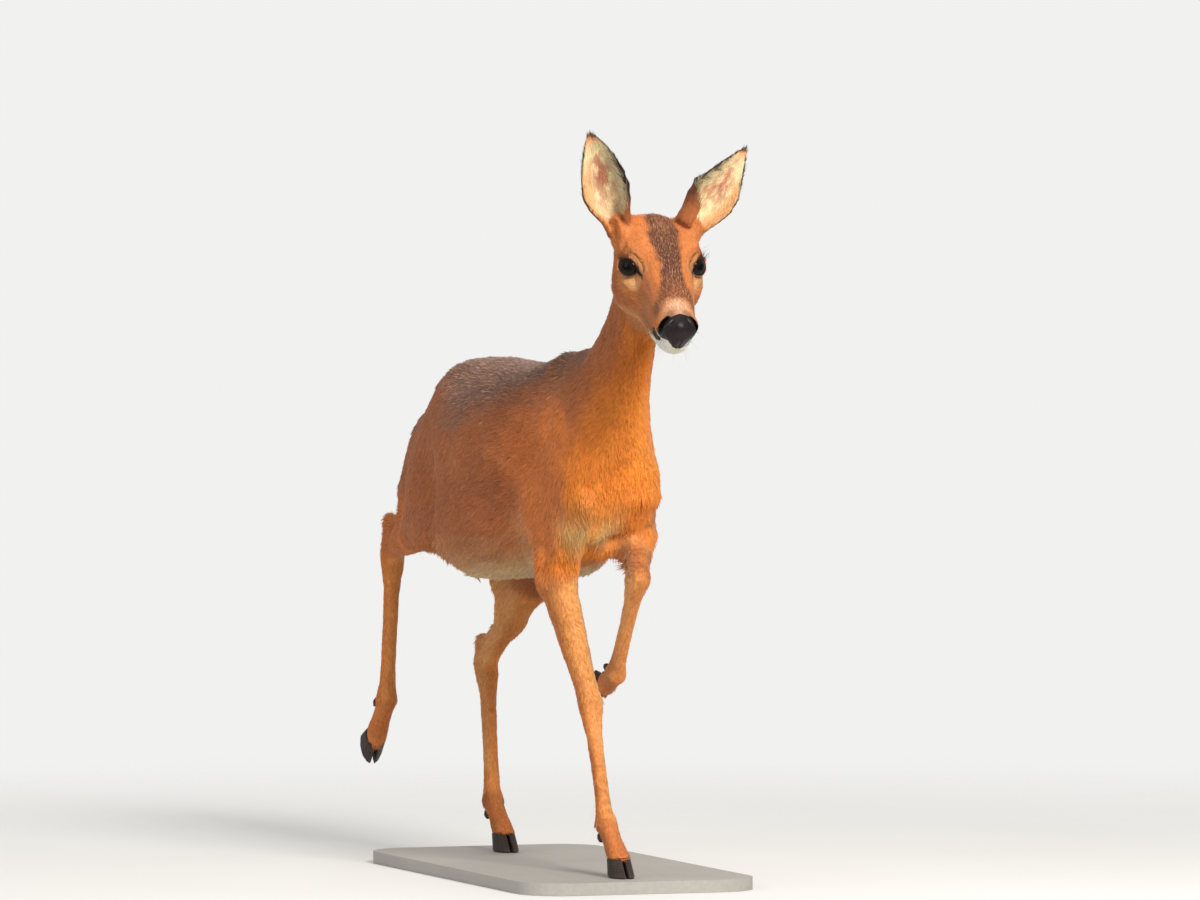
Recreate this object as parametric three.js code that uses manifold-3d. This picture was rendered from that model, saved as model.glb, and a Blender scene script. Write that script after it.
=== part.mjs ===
// A roe deer doe in summer coat, caught in mid-stride, as a life-size museum model on a flat base plate.
// Millimetres, +Z up. The animal faces -Y and its left is +X. The body is one smooth implicit form, meshed
// part by part and parted with thin cuts; the ears, claws and eyes are solids of their own.
import * as THREE from "three";
import { mergeVertices } from "three/addons/utils/BufferGeometryUtils.js";
import Module from "manifold-3d";

const wasm = await Module();
wasm.setup();

// ---- Driving dimensions ----
const GAP = 0.4; // between neighbouring solids
const BASE = { width: 320, front: -360, back: 330, thick: 16, corner: 60, clear: 0.4 };
const EYE = { radius: 16, side: 39.3, up: -2, ahead: -8, facing: [0.62, 0.26, 0.74], opening: [15.2, 10.6] };
const HEAD = { middle: [-7, -431, 792], yaw: 8, pitch: 25 }; // middle lies between the eyes
const NOSE = { up: -33, ahead: 122, size: [19, 21, 15] };
// turn is how far an ear's root opens outward of its blade, in degrees; wide scales its root and
// its tip, slim the wrap of its blade's two halves, the right one first.
const EARS = {
  right: {
    root: [-47, 26, -62],
    reach: [-34, 22, 119],
    facing: [-0.5, -0.85, 0],
    turn: 0,
    wide: [1, 1],
    slim: [1, 1],
  },
  left: {
    root: [40, 26, -62],
    reach: [92, 27, 101],
    facing: [0.1, -0.95, 0.2],
    turn: 42,
    wide: [1.25, 0.85],
    slim: [0.7, 1],
  },
};
const EAR_THICK = 3.4;
// A claw's walls slope forwards from the coronet down to the sole.
const CLAW = { coronet: [-15, 17], sole: [-10, 36], width: 15, height: 24, cleft: 2.4 };
const TAIL = { middle: [0, 391, 586], size: [11, 9, 24] };
const DEWCLAW = { size: [4.6, 5, 8.5], aside: 8, behind: 13.5, below: 14 };

// Joint centres of the stride: the right fore and left hind feet stand, the other two are in the air.
const FORE_RIGHT = {
  blade: [-30, -95, 640],
  shoulder: [-40, -203, 500],
  elbow: [-52, -142, 388],
  knee: [-21, -190, 222],
  fetlock: [-17, -240, 68],
  toe: [-14, -283, 24],
};
const FORE_LEFT = {
  blade: [30, -95, 640],
  shoulder: [40, -203, 500],
  elbow: [62, -130, 436],
  knee: [16, -272, 388],
  fetlock: [26, -158, 256],
  toe: [32, -102, 238],
};
const HIND_RIGHT = {
  hip: [-56, 300, 556],
  stifle: [-90, 228, 430],
  hock: [-77, 440, 394],
  fetlock: [-72, 482, 190],
  toe: [-77, 514, 137],
};
const HIND_LEFT = {
  hip: [60, 300, 562],
  stifle: [80, 214, 410],
  hock: [29, 362, 246],
  fetlock: [1, 258, 66],
  toe: [2, 215, 24],
};

// ---- Implicit forms: each gives about the distance to its surface, negative inside ----

const vec = (p) => new THREE.Vector3(...p);

function lerp(a, b, t) {
  return a.map((v, i) => v + (b[i] - v) * t);
}

function ellipsoidDistance(x, y, z, a, b, c) {
  const q = Math.hypot(x / a, y / b, z / c);
  const slope = Math.hypot(x / (a * a), y / (b * b), z / (c * c));
  return slope < 1e-9 ? -Math.min(a, b, c) : (q * (q - 1)) / slope;
}

// Stations filled in by a Catmull-Rom spline through every one of their numbers.
function smoothStations(stations, steps) {
  const last = stations.length - 1;
  const found = [];
  for (let i = 0; i < last; i++) {
    const [a, b, c, d] = [i - 1, i, i + 1, i + 2].map((j) => stations[Math.min(Math.max(j, 0), last)]);
    for (let s = 0; s < steps; s++) {
      const t = s / steps;
      const at = b.map((v, k) => {
        const [from, to, rise] = [(c[k] - a[k]) / 2, (d[k] - v) / 2, c[k] - v];
        return v + from * t + (3 * rise - 2 * from - to) * t * t + (from + to - 2 * rise) * t ** 3;
      });
      found.push(at);
    }
  }
  found.push(stations[last]);
  return found;
}

// A tube through stations [x, y, z, half width, depth on one side, depth on the other]. The width lies along
// "side"; the first depth is up on a trunk that runs back, behind on a leg that runs down.
function tube(stations, { side = [1, 0, 0], cap = 1, steps = 4 } = {}) {
  const rings = stations.length > 2 ? smoothStations(stations, steps) : stations;
  const box = new THREE.Box3();
  const parts = [];
  for (let i = 0; i + 1 < rings.length; i++) {
    const from = vec(rings[i].slice(0, 3));
    const axis = vec(rings[i + 1].slice(0, 3)).sub(from);
    const length = axis.length();
    axis.normalize();
    const depth = new THREE.Vector3().crossVectors(vec(side), axis).normalize();
    const wide = new THREE.Vector3().crossVectors(axis, depth);
    parts.push({ from, axis, depth, wide, length, a: rings[i].slice(3), b: rings[i + 1].slice(3) });
  }
  for (const ring of rings) {
    const at = vec(ring.slice(0, 3));
    const reach = Math.max(...ring.slice(3));
    box.expandByPoint(at.clone().addScalar(reach)).expandByPoint(at.clone().addScalar(-reach));
  }
  const end = parts[parts.length - 1];
  function distance(x, y, z) {
    let best = Infinity;
    let part = end;
    let along = 0;
    for (const p of parts) {
      const [dx, dy, dz] = [x - p.from.x, y - p.from.y, z - p.from.z];
      const t = Math.min(Math.max(dx * p.axis.x + dy * p.axis.y + dz * p.axis.z, 0), p.length);
      const [ex, ey, ez] = [dx - t * p.axis.x, dy - t * p.axis.y, dz - t * p.axis.z];
      const d = ex * ex + ey * ey + ez * ez;
      if (d < best) [best, part, along] = [d, p, t];
    }
    const share = along / part.length;
    const [w, f, b] = part.a.map((v, i) => v + (part.b[i] - v) * share);
    const dx = x - part.from.x - along * part.axis.x;
    const dy = y - part.from.y - along * part.axis.y;
    const dz = z - part.from.z - along * part.axis.z;
    const lateral = dx * part.wide.x + dy * part.wide.y + dz * part.wide.z;
    const sag = dx * part.depth.x + dy * part.depth.y + dz * part.depth.z;
    const beyond = dx * part.axis.x + dy * part.axis.y + dz * part.axis.z;
    const h = sag > 0 ? f : b;
    const atEnd = (part === parts[0] && share <= 0) || (part === end && share >= 1);
    return ellipsoidDistance(lateral, sag, beyond, w, h, atEnd ? Math.min(w, h) * cap : (w + h) / 2);
  }
  return { box, distance };
}

// An ellipsoid with half sizes along the axes of its frame.
function lump(at, size, frame = new THREE.Matrix4()) {
  const inverse = frame.clone().invert();
  const middle = vec(at).applyMatrix4(frame);
  const reach = Math.max(...size);
  const box = new THREE.Box3(middle.clone().addScalar(-reach), middle.clone().addScalar(reach));
  const p = new THREE.Vector3();
  function distance(x, y, z) {
    p.set(x, y, z).applyMatrix4(inverse);
    return ellipsoidDistance(p.x - at[0], p.y - at[1], p.z - at[2], ...size);
  }
  return { box, distance };
}

function smoothMin(a, b, k) {
  const h = Math.max(k - Math.abs(a - b), 0) / k;
  return Math.min(a, b) - (h * h * k) / 4;
}

// Forms joined with a soft fillet: each entry is [form, fillet radius].
function blend(entries) {
  const box = new THREE.Box3();
  for (const [form] of entries) box.union(form.box);
  function distance(x, y, z) {
    let d = 1e3;
    for (const [form, k] of entries) {
      const b = form.box;
      const far = Math.max(b.min.x - x, x - b.max.x, b.min.y - y, y - b.max.y, b.min.z - z, z - b.max.z);
      if (far > d + 1.6 * k) continue;
      d = smoothMin(d, form.distance(x, y, z), k || 1e-6);
    }
    return d;
  }
  return { box, distance };
}

// ---- Trunk and neck ----

// Stations run back from the breast: [y, half width, top, bottom], about a nearly level centre line.
const barrel = tube(
  [
    [-196, 42, 612, 434],
    [-140, 64, 662, 402],
    [-70, 84, 672, 390],
    [20, 104, 657, 380],
    [100, 114, 657, 372],
    [170, 110, 659, 388],
    [235, 96, 660, 437],
    [300, 78, 653, 482],
    [348, 54, 630, 502],
  ].map(([y, w, top, bottom]) => {
    const middle = 540 + y * 0.055;
    return [0, y, middle, w, top - middle, middle - bottom];
  }),
  { cap: 0.9 },
);
const trunkForm = blend([
  [barrel, 0],
  [lump([-54, 116, 443], [58, 140, 74]), 24],
  [lump([54, 116, 443], [58, 140, 74]), 24],
  [lump([-50, 228, 604], [25, 44, 40]), 30],
  [lump([50, 228, 604], [25, 44, 40]), 30],
  [lump([0, -118, 633], [20, 44, 38]), 30],
]);

// Stations run up from the chest: [x, y, z, half width, throat side, nape side].
const neckForm = tube([
  [0, -150, 566, 60, 96, 88],
  [2, -205, 632, 45, 86, 53],
  [3, -258, 690, 34, 66, 38],
  [2, -306, 742, 30, 49, 38],
  [0, -345, 792, 34, 42, 42],
  [0, -362, 818, 36, 36, 36],
]);

// ---- Legs: stations given as shares of the way between two joints ----

function alongLeg(rows) {
  return rows.map(([a, b, share, ...sizes]) => [...lerp(a, b, share), ...sizes]);
}

function pasternForm(j) {
  const rows = [
    [j.fetlock, j.toe, 0, 14, 15.5, 13.5],
    [j.fetlock, j.toe, 0.4, 12.5, 13.5, 12.5],
    [j.fetlock, j.toe, 0.9, 15, 16, 13.5],
    [j.fetlock, j.toe, 1.4, 15, 16, 13.5],
  ];
  return tube(alongLeg(rows), { steps: 3, cap: 0.8 });
}

function foreLeg(j) {
  const wing = Math.sign(j.shoulder[0]);
  const blade = tube(
    alongLeg([
      [j.blade, j.shoulder, 0, 14, 36, 30],
      [j.blade, j.shoulder, 0.5, 24, 46, 36],
      [j.blade, j.shoulder, 1, 23, 38, 32],
    ]),
  );
  const arm = tube(
    alongLeg([
      [j.shoulder, j.elbow, 0, 24, 40, 34],
      [j.shoulder, j.elbow, 0.5, 27, 44, 34],
      [j.shoulder, j.elbow, 1, 23, 32, 30],
    ]),
  );
  const triceps = lump([wing * 54, -112, 476], [22, 46, 66]);
  const lower = tube(
    alongLeg([
      [j.elbow, j.knee, -0.08, 22, 30, 28],
      [j.elbow, j.knee, 0.22, 22.5, 27, 25],
      [j.elbow, j.knee, 0.55, 19.5, 20, 19.5],
      [j.elbow, j.knee, 0.84, 16, 15.5, 15],
      [j.elbow, j.knee, 1, 17.5, 15.5, 16.5],
      [j.knee, j.fetlock, 0.14, 14.5, 14, 13],
      [j.knee, j.fetlock, 0.32, 10.5, 11.5, 11],
      [j.knee, j.fetlock, 0.8, 10, 12, 11],
      [j.knee, j.fetlock, 1, 13.5, 15.5, 13.5],
    ]),
    { steps: 3 },
  );
  return {
    upper: [[blade, 30], [arm, 26], [triceps, 26]],
    lower: [[lower, 22], [pasternForm(j), 8]],
  };
}

// Unit vectors at the hock: up along the cannon bone, and backwards from it.
function hockFrame(j) {
  const up = vec(j.hock).sub(vec(j.fetlock)).normalize();
  const back = up.clone().cross(new THREE.Vector3(1, 0, 0)).normalize();
  return { up, back };
}

function hindLeg(j) {
  const wing = Math.sign(j.hip[0]);
  const { up, back } = hockFrame(j);
  const fromHock = (rise, behind) => vec(j.hock).addScaledVector(up, rise).addScaledVector(back, behind);
  const haunch = tube(
    alongLeg([
      [j.hip, j.stifle, 0.04, 26, 44, 48],
      [j.hip, j.stifle, 0.35, 35, 60, 54],
      [j.hip, j.stifle, 0.7, 36, 54, 44],
      [j.hip, j.stifle, 1, 27, 34, 28],
    ]),
  );
  const buttock = [wing * 44, 352, 546];
  const calf = lerp(j.stifle, j.hock, 0.66);
  const ham = tube([
    [...buttock, 32, 34, 40],
    [...lerp(buttock, calf, 0.36), 38, 27, 46],
    [...lerp(buttock, calf, 0.72), 29, 15, 36],
    [...calf, 17, 16, 12],
  ]);
  const web = tube([
    [...lerp(j.hip, j.stifle, 0.5), 30, 60, 60],
    [...lerp(j.stifle, j.hock, 0.34), 24, 34, 12],
  ]);
  const shank = tube(
    alongLeg([
      [j.stifle, j.hock, 0, 24, 32, 22],
      [j.stifle, j.hock, 0.35, 20, 29, 11],
      [j.stifle, j.hock, 0.68, 16.5, 20, 12],
      [j.stifle, j.hock, 0.9, 14, 15, 14],
      [j.stifle, j.hock, 1, 15.5, 16, 18],
      [j.hock, j.fetlock, 0.13, 14.5, 15.5, 15.5],
      [j.hock, j.fetlock, 0.3, 11, 12.5, 12],
      [j.hock, j.fetlock, 0.8, 10.5, 12, 11.5],
      [j.hock, j.fetlock, 1, 13.5, 16, 13.5],
    ]),
    { steps: 3 },
  );
  const heelTip = fromHock(40, 17).toArray();
  const heel = tube([
    [...fromHock(-16, 6).toArray(), 12, 12, 12],
    [...fromHock(14, 13).toArray(), 11, 12, 12],
    [...heelTip, 8, 8.5, 8.5],
  ]);
  const tendonTop = lerp(j.stifle, j.hock, 0.5);
  const tendon = tube([
    [...tendonTop, 12, 12, 16],
    [...lerp(tendonTop, heelTip, 0.55), 7, 6.5, 22],
    [...heelTip, 6.5, 8, 18],
  ]);
  return {
    upper: [[haunch, 36], [ham, 34], [web, 24]],
    lower: [[shank, 22], [heel, 12], [tendon, 14], [pasternForm(j), 8]],
  };
}

// ---- Head, in a frame of its own: [left, up, ahead] ----

const headFrame = new THREE.Matrix4()
  .makeTranslation(...HEAD.middle)
  .multiply(new THREE.Matrix4().makeRotationZ(THREE.MathUtils.degToRad(-HEAD.yaw)))
  .multiply(new THREE.Matrix4().makeRotationX(THREE.MathUtils.degToRad(90 + HEAD.pitch)));
const inHead = (left, up, ahead) => new THREE.Vector3(left, up, ahead).applyMatrix4(headFrame);
const headSide = new THREE.Vector3(1, 0, 0).transformDirection(headFrame).toArray();

// Head stations run from the nose back: [ahead, up, half width, below, above].
function headTube(rows) {
  const stations = rows.map(([ahead, up, w, below, above]) => [...inHead(0, up, ahead), w, above, below]);
  return tube(stations, { side: headSide, cap: 0.8 });
}

const skull = headTube([
  [112, -34, 18, 18, 17],
  [100, -32, 25, 26, 21],
  [82, -28, 27, 34, 25],
  [60, -23, 30.5, 42, 29],
  [36, -17, 34, 50, 32],
  [12, -10, 38, 56, 34],
  [-12, -5, 47.5, 60, 36],
  [-38, -2, 54, 60, 38],
  [-62, -2, 51, 54, 38],
  [-80, -5, 40, 46, 34],
]);
const jaw = headTube([
  [99, -59, 18, 14, 14],
  [78, -59, 23, 16, 16],
  [45, -59, 26, 20, 22],
  [8, -58, 32, 23, 26],
  [-28, -55, 40, 26, 28],
  [-52, -46, 37, 25, 26],
]);

function headSides(side) {
  return [
    [lump([side * 35, 9, -17], [17, 22, 21], headFrame), 12], // orbit
    [lump([side * 36, -26, -6], [15, 12, 27], headFrame), 12], // cheekbone
    [lump([side * 38, -40, -30], [20, 32, 34], headFrame), 18], // cheek
    [lump([side * 44, 24, -62], [19, 20, 20], headFrame), 14], // root of the ear
    [lump([side * 16, -31, 106], [10.5, 12, 12], headFrame), 8], // nostril wing
  ];
}

const headForm = blend([[skull, 0], [jaw, 20], ...headSides(1), ...headSides(-1)]);

// ---- The whole body ----

const legForms = [foreLeg(FORE_RIGHT), foreLeg(FORE_LEFT), hindLeg(HIND_RIGHT), hindLeg(HIND_LEFT)];
const body = blend([
  [trunkForm, 0],
  [neckForm, 55],
  ...legForms.flatMap((leg) => leg.upper),
  ...legForms.flatMap((leg) => leg.lower),
  [headForm, 24],
]);
body.box.expandByScalar(30);

// ---- Meshing: surface nets on a grid laid in a frame, then each point slid onto the surface ----

const CORNERS = [0, 1, 2, 3, 4, 5, 6, 7].map((c) => [c & 1, (c >> 1) & 1, (c >> 2) & 1]);
// The 12 edges of a cell, each [corner, next corner along one axis].
const EDGES = CORNERS.flatMap((a, i) => [1, 2, 4].filter((bit) => !(i & bit)).map((bit) => [i, i | bit]));
// The 6 faces, each a list of its edges.
const FACES = [1, 2, 4].flatMap((bit) =>
  [0, bit].map((side) => EDGES.flatMap(([a, b], e) => ((a & bit) === side && (b & bit) === side ? [e] : []))),
);

// Groups a cell's crossed edges into loops, one for each sheet of surface through it.
function sheetsOf(v) {
  const crossed = EDGES.map(([a, b]) => v[a] < 0 !== v[b] < 0);
  const group = EDGES.map((edge, e) => e);
  const find = (e) => (group[e] === e ? e : find(group[e]));
  for (const face of FACES) {
    const on = face.filter((e) => crossed[e]);
    for (const e of on)
      for (const other of on) {
        const shared = EDGES[e].find((corner) => EDGES[other].includes(corner));
        const linked = on.length === 2 || (shared !== undefined && v[shared] < 0);
        if (e < other && linked) group[find(other)] = find(e);
      }
  }
  const sheets = new Map();
  crossed.forEach((yes, e) => yes && sheets.set(find(e), [...(sheets.get(find(e)) ?? []), e]));
  return [...sheets.values()];
}

function surfaceOf(form, low, high, cell, frame = new THREE.Matrix4()) {
  const n = [0, 1, 2].map((i) => Math.max(3, Math.round((high[i] - low[i]) / cell[i])));
  const step = n.map((count, i) => (high[i] - low[i]) / count);
  const at = (i, j, k) => (i * (n[1] + 1) + j) * (n[2] + 1) + k;
  const place = (i, j, k) =>
    new THREE.Vector3(low[0] + i * step[0], low[1] + j * step[1], low[2] + k * step[2]).applyMatrix4(frame);
  const values = new Float64Array((n[0] + 1) * (n[1] + 1) * (n[2] + 1));
  for (let i = 0; i <= n[0]; i++)
    for (let j = 0; j <= n[1]; j++)
      for (let k = 0; k <= n[2]; k++) {
        const rim = [i, j, k].some((c, m) => c === 0 || c === n[m]);
        const d = form.distance(...place(i, j, k));
        values[at(i, j, k)] = rim ? Math.max(d, 0.5) : d;
      }
  const positions = [];
  const pointOn = new Map(); // from cell and edge to the point of that sheet
  for (let i = 0; i < n[0]; i++)
    for (let j = 0; j < n[1]; j++)
      for (let k = 0; k < n[2]; k++) {
        const v = CORNERS.map(([a, b, c]) => values[at(i + a, j + b, k + c)]);
        const inside = v.filter((d) => d < 0).length;
        if (inside === 0 || inside === 8) continue;
        for (const sheet of sheetsOf(v)) {
          const sum = [i, j, k];
          for (const e of sheet) {
            const [a, b] = EDGES[e];
            const t = v[a] / (v[a] - v[b]);
            for (let m = 0; m < 3; m++) sum[m] += lerp(CORNERS[a], CORNERS[b], t)[m] / sheet.length;
            pointOn.set(at(i, j, k) * 12 + e, positions.length / 3);
          }
          const p = place(...sum);
          const rim = [i, j, k].some((c, m) => c === 0 || c === n[m] - 1);
          positions.push(...(rim ? p : slideOnto(form, p, Math.min(...step) / 3)));
        }
      }
  const index = [];
  // The four cells around a grid edge along one axis, in turn; at holds the edge's far end.
  const around = [[1, 1], [0, 1], [0, 0], [1, 0]];
  for (let i = 1; i <= n[0]; i++)
    for (let j = 1; j <= n[1]; j++)
      for (let k = 1; k <= n[2]; k++) {
        const here = values[at(i, j, k)] < 0;
        for (let axis = 0; axis < 3; axis++) {
          const back = [0, 1, 2].map((m) => (m === axis ? 1 : 0));
          if (here === values[at(i - back[0], j - back[1], k - back[2])] < 0) continue;
          const [a, b, c, d] = around.map(([p, q]) => {
            const off = [0, 0, 0];
            off[axis] = 1;
            off[(axis + 1) % 3] = p;
            off[(axis + 2) % 3] = q;
            const from = [0, 1, 2].reduce((bits, m) => bits + (m !== axis && off[m] ? 1 << m : 0), 0);
            const edge = EDGES.findIndex(([x, y]) => x === from && y === (from | (1 << axis)));
            return pointOn.get(at(i - off[0], j - off[1], k - off[2]) * 12 + edge);
          });
          if (here) index.push(a, c, b, a, d, c);
          else index.push(a, b, c, a, c, d);
        }
      }
  return new THREE.BufferGeometry()
    .setAttribute("position", new THREE.Float32BufferAttribute(positions, 3))
    .setIndex(index);
}

function slideOnto(form, p, most) {
  const q = p.toArray();
  for (let pass = 0; pass < 3; pass++) {
    const d = form.distance(...q);
    const slope = [0, 1, 2].map((m) => {
      const [more, less] = [[...q], [...q]];
      more[m] += 0.5;
      less[m] -= 0.5;
      return form.distance(...more) - form.distance(...less);
    });
    const size = slope.reduce((s, v) => s + v * v, 0);
    if (size < 0.05) break;
    for (let m = 0; m < 3; m++) q[m] -= THREE.MathUtils.clamp((d * slope[m]) / size, -most, most);
  }
  return q;
}

// ---- Solids ----

function solidOf(geometry) {
  const bare = new THREE.BufferGeometry().setAttribute("position", geometry.getAttribute("position").clone());
  if (geometry.index) bare.setIndex(geometry.index);
  const merged = geometry.parameters || !geometry.index ? mergeVertices(bare, 1e-4) : bare;
  const vertProperties = new Float32Array(merged.attributes.position.array);
  const triVerts = new Uint32Array(merged.index.array);
  return new wasm.Manifold(new wasm.Mesh({ numProp: 3, vertProperties, triVerts }));
}

function geometryOf(solid) {
  const { numProp, vertProperties, triVerts, numVert } = solid.getMesh();
  const positions = new Float32Array(numVert * 3);
  for (let i = 0; i < numVert; i++) positions.set(vertProperties.subarray(i * numProp, i * numProp + 3), i * 3);
  const geometry = new THREE.BufferGeometry()
    .setAttribute("position", new THREE.BufferAttribute(positions, 3))
    .setIndex(new THREE.BufferAttribute(new Uint32Array(triVerts), 1));
  geometry.computeVertexNormals();
  return geometry;
}

const box = (low, high) => {
  const size = high.map((v, i) => v - low[i]);
  return new THREE.BoxGeometry(...size).translate(...low.map((v, i) => v + size[i] / 2));
};

// Everything on the side of a plane that its normal points to, within reach of the point.
function halfSpace(point, normal, reach = 900) {
  const level = new THREE.Vector3(1, 0.1, 0);
  const turn = new THREE.Matrix4().lookAt(new THREE.Vector3(), vec(normal).negate(), level);
  const slab = box([-reach, -reach, 0], [reach, reach, 2 * reach]).applyMatrix4(turn);
  return solidOf(slab.translate(...point));
}

// A closed skin over rings of points that all have the same count.
function loftOf(rings) {
  const count = rings[0].length;
  const positions = [];
  const index = [];
  for (const ring of rings) for (const p of ring) positions.push(...p);
  for (let i = 0; i + 1 < rings.length; i++)
    for (let j = 0; j < count; j++) {
      const [a, b] = [i * count + j, i * count + ((j + 1) % count)];
      index.push(a, b, b + count, a, b + count, a + count);
    }
  for (const [ring, flip] of [
    [0, true],
    [rings.length - 1, false],
  ]) {
    const middle = rings[ring].reduce((s, p) => s.map((v, m) => v + p[m] / count), [0, 0, 0]);
    const hub = positions.length / 3;
    positions.push(...middle);
    for (let j = 0; j < count; j++) {
      const [a, b] = [ring * count + j, ring * count + ((j + 1) % count)];
      index.push(hub, ...(flip ? [b, a] : [a, b]));
    }
  }
  return new THREE.BufferGeometry()
    .setAttribute("position", new THREE.Float32BufferAttribute(positions, 3))
    .setIndex(index);
}

// The body between two cuts, as rings of points found outwards from a middle line. Each ring is
// { at, normal }; half limits the reach to a square bar around the line.
function sleeve(form, rings, around, half, side = new THREE.Vector3(1, 0, 0)) {
  return loftOf(
    rings.map(({ at, normal }) => {
      const u = side.clone().addScaledVector(normal, -side.dot(normal)).normalize();
      const v = normal.clone().cross(u);
      return Array.from({ length: around }, (_, i) => {
        const angle = (2 * Math.PI * (i + 0.5)) / around;
        const [cos, sin] = [Math.cos(angle), Math.sin(angle)];
        const out = u.clone().multiplyScalar(cos).addScaledVector(v, sin);
        const most = half / Math.max(Math.abs(cos), Math.abs(sin));
        let r = 1;
        let step = 0;
        for (let pass = 0; pass < 60 && r < most; pass++) {
          step = form.distance(...at.clone().addScaledVector(out, r));
          if (step > -0.02) break;
          r -= step * 0.9;
        }
        return at.clone().addScaledVector(out, Math.min(r, most)).toArray();
      });
    }),
  );
}

// Rings along a line of points, given as shares of it, their planes turning from one cut to the other.
function ringsBetween(points, cutA, cutB, shares) {
  const line = new THREE.CatmullRomCurve3(points.map(vec));
  return shares.map((share) => {
    const at = line.getPoint(share);
    const normal = cutA.clone().lerp(cutB, share).normalize();
    return { at, normal };
  });
}

// ---- Where the body is parted ----

// Outward normal of the cut at each joint of a chain: square to a bone at the ends, halfway between two bones
// in between.
function cutNormals(chain) {
  const along = chain.slice(1).map((p, i) => vec(p).sub(vec(chain[i])).normalize());
  return chain.map((p, i) => {
    const [before, after] = [along[Math.max(i - 1, 0)], along[Math.min(i, along.length - 1)]];
    return before.clone().add(after).normalize();
  });
}

// A square bar around the bone from a to b, its ends lying in the cuts there and GAP / 2 short of them.
function barAround(a, b, cutA, cutB, half, grow = 0) {
  const axis = vec(b).sub(vec(a)).normalize();
  const across = new THREE.Vector3(1, 0, 0).cross(axis).normalize();
  const wide = axis.clone().cross(across);
  const corners = [];
  for (const [end, normal, sign] of [[a, cutA, 1], [b, cutB, -1]])
    for (const [u, v] of [[-1, 1], [1, 1], [1, -1], [-1, -1]]) {
      const offset = wide.clone().multiplyScalar(u * (half + grow)).addScaledVector(across, v * (half + grow));
      const slide = (sign * (GAP / 2 - grow) - offset.dot(normal)) / axis.dot(normal);
      corners.push(vec(end).add(offset).addScaledVector(axis, slide).toArray());
    }
  return solidOf(loftOf([corners.slice(0, 4), corners.slice(4)]));
}

const TOE_TURN = 42; // degrees from the pastern to the sole, on a lifted foot

// The frame of a foot's claws: X to the left, Y towards the toe, Z up from the sole, on the sole's middle.
function soleFrame(j, planted) {
  const pastern = vec(j.toe).sub(vec(j.fetlock));
  const swing = Math.atan2(-pastern.y, -pastern.z) + THREE.MathUtils.degToRad(TOE_TURN);
  const toe = planted ? [0, -1, 0] : [0, -Math.sin(swing), -Math.cos(swing)];
  const up = new THREE.Vector3(1, 0, 0).cross(vec(toe)).negate();
  const frame = new THREE.Matrix4().makeBasis(new THREE.Vector3(-1, 0, 0), vec(toe), up);
  return frame.setPosition(vec(j.toe).addScaledVector(up, -CLAW.height));
}

const LEGS = [
  { name: "fore", side: "right", joints: FORE_RIGHT, top: ["elbow", "knee"], from: 0.03, planted: true },
  { name: "fore", side: "left", joints: FORE_LEFT, top: ["elbow", "knee"], from: 0.42, planted: false },
  { name: "hind", side: "right", joints: HIND_RIGHT, top: ["stifle", "hock"], from: 0.36, planted: false },
  { name: "hind", side: "left", joints: HIND_LEFT, top: ["stifle", "hock"], from: 0.36, planted: true },
];

const material = (color, roughness = 0.8) => new THREE.MeshStandardMaterial({ color, roughness, metalness: 0 });
const COAT = 0xb4632b;
const COLORS = { coat: COAT, pale: 0xe0c29a, horn: 0x1d1815, nose: 0x141212, eye: 0x0d0807, base: 0x4a4038 };
const solids = new Map();
const looks = new Map();

function keep(name, solid, color, roughness) {
  solids.set(name, solid);
  looks.set(name, material(COLORS[color], roughness));
}

// Shares of the way along each part of a leg at which it has a ring.
const SHARES = {
  forearm: [0, 0.15, 0.35, 0.58, 0.76, 0.89, 1],
  cannon: [0, 0.07, 0.15, 0.27, 0.5, 0.78, 0.9, 1],
  pastern: [0, 0.2, 0.45, 0.72, 1],
};

// The body meshed on a grid laid along a bone.
function meshAlong(a, b, half) {
  const axis = vec(b).sub(vec(a));
  const length = axis.length();
  axis.normalize();
  const depth = new THREE.Vector3(1, 0, 0).cross(axis).normalize();
  const frame = new THREE.Matrix4().makeBasis(depth.clone().cross(axis), depth, axis).setPosition(...a);
  return solidOf(surfaceOf(body, [-half, -half, -96], [half, half, length + 60], [12.5, 12.5, 17], frame));
}

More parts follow.
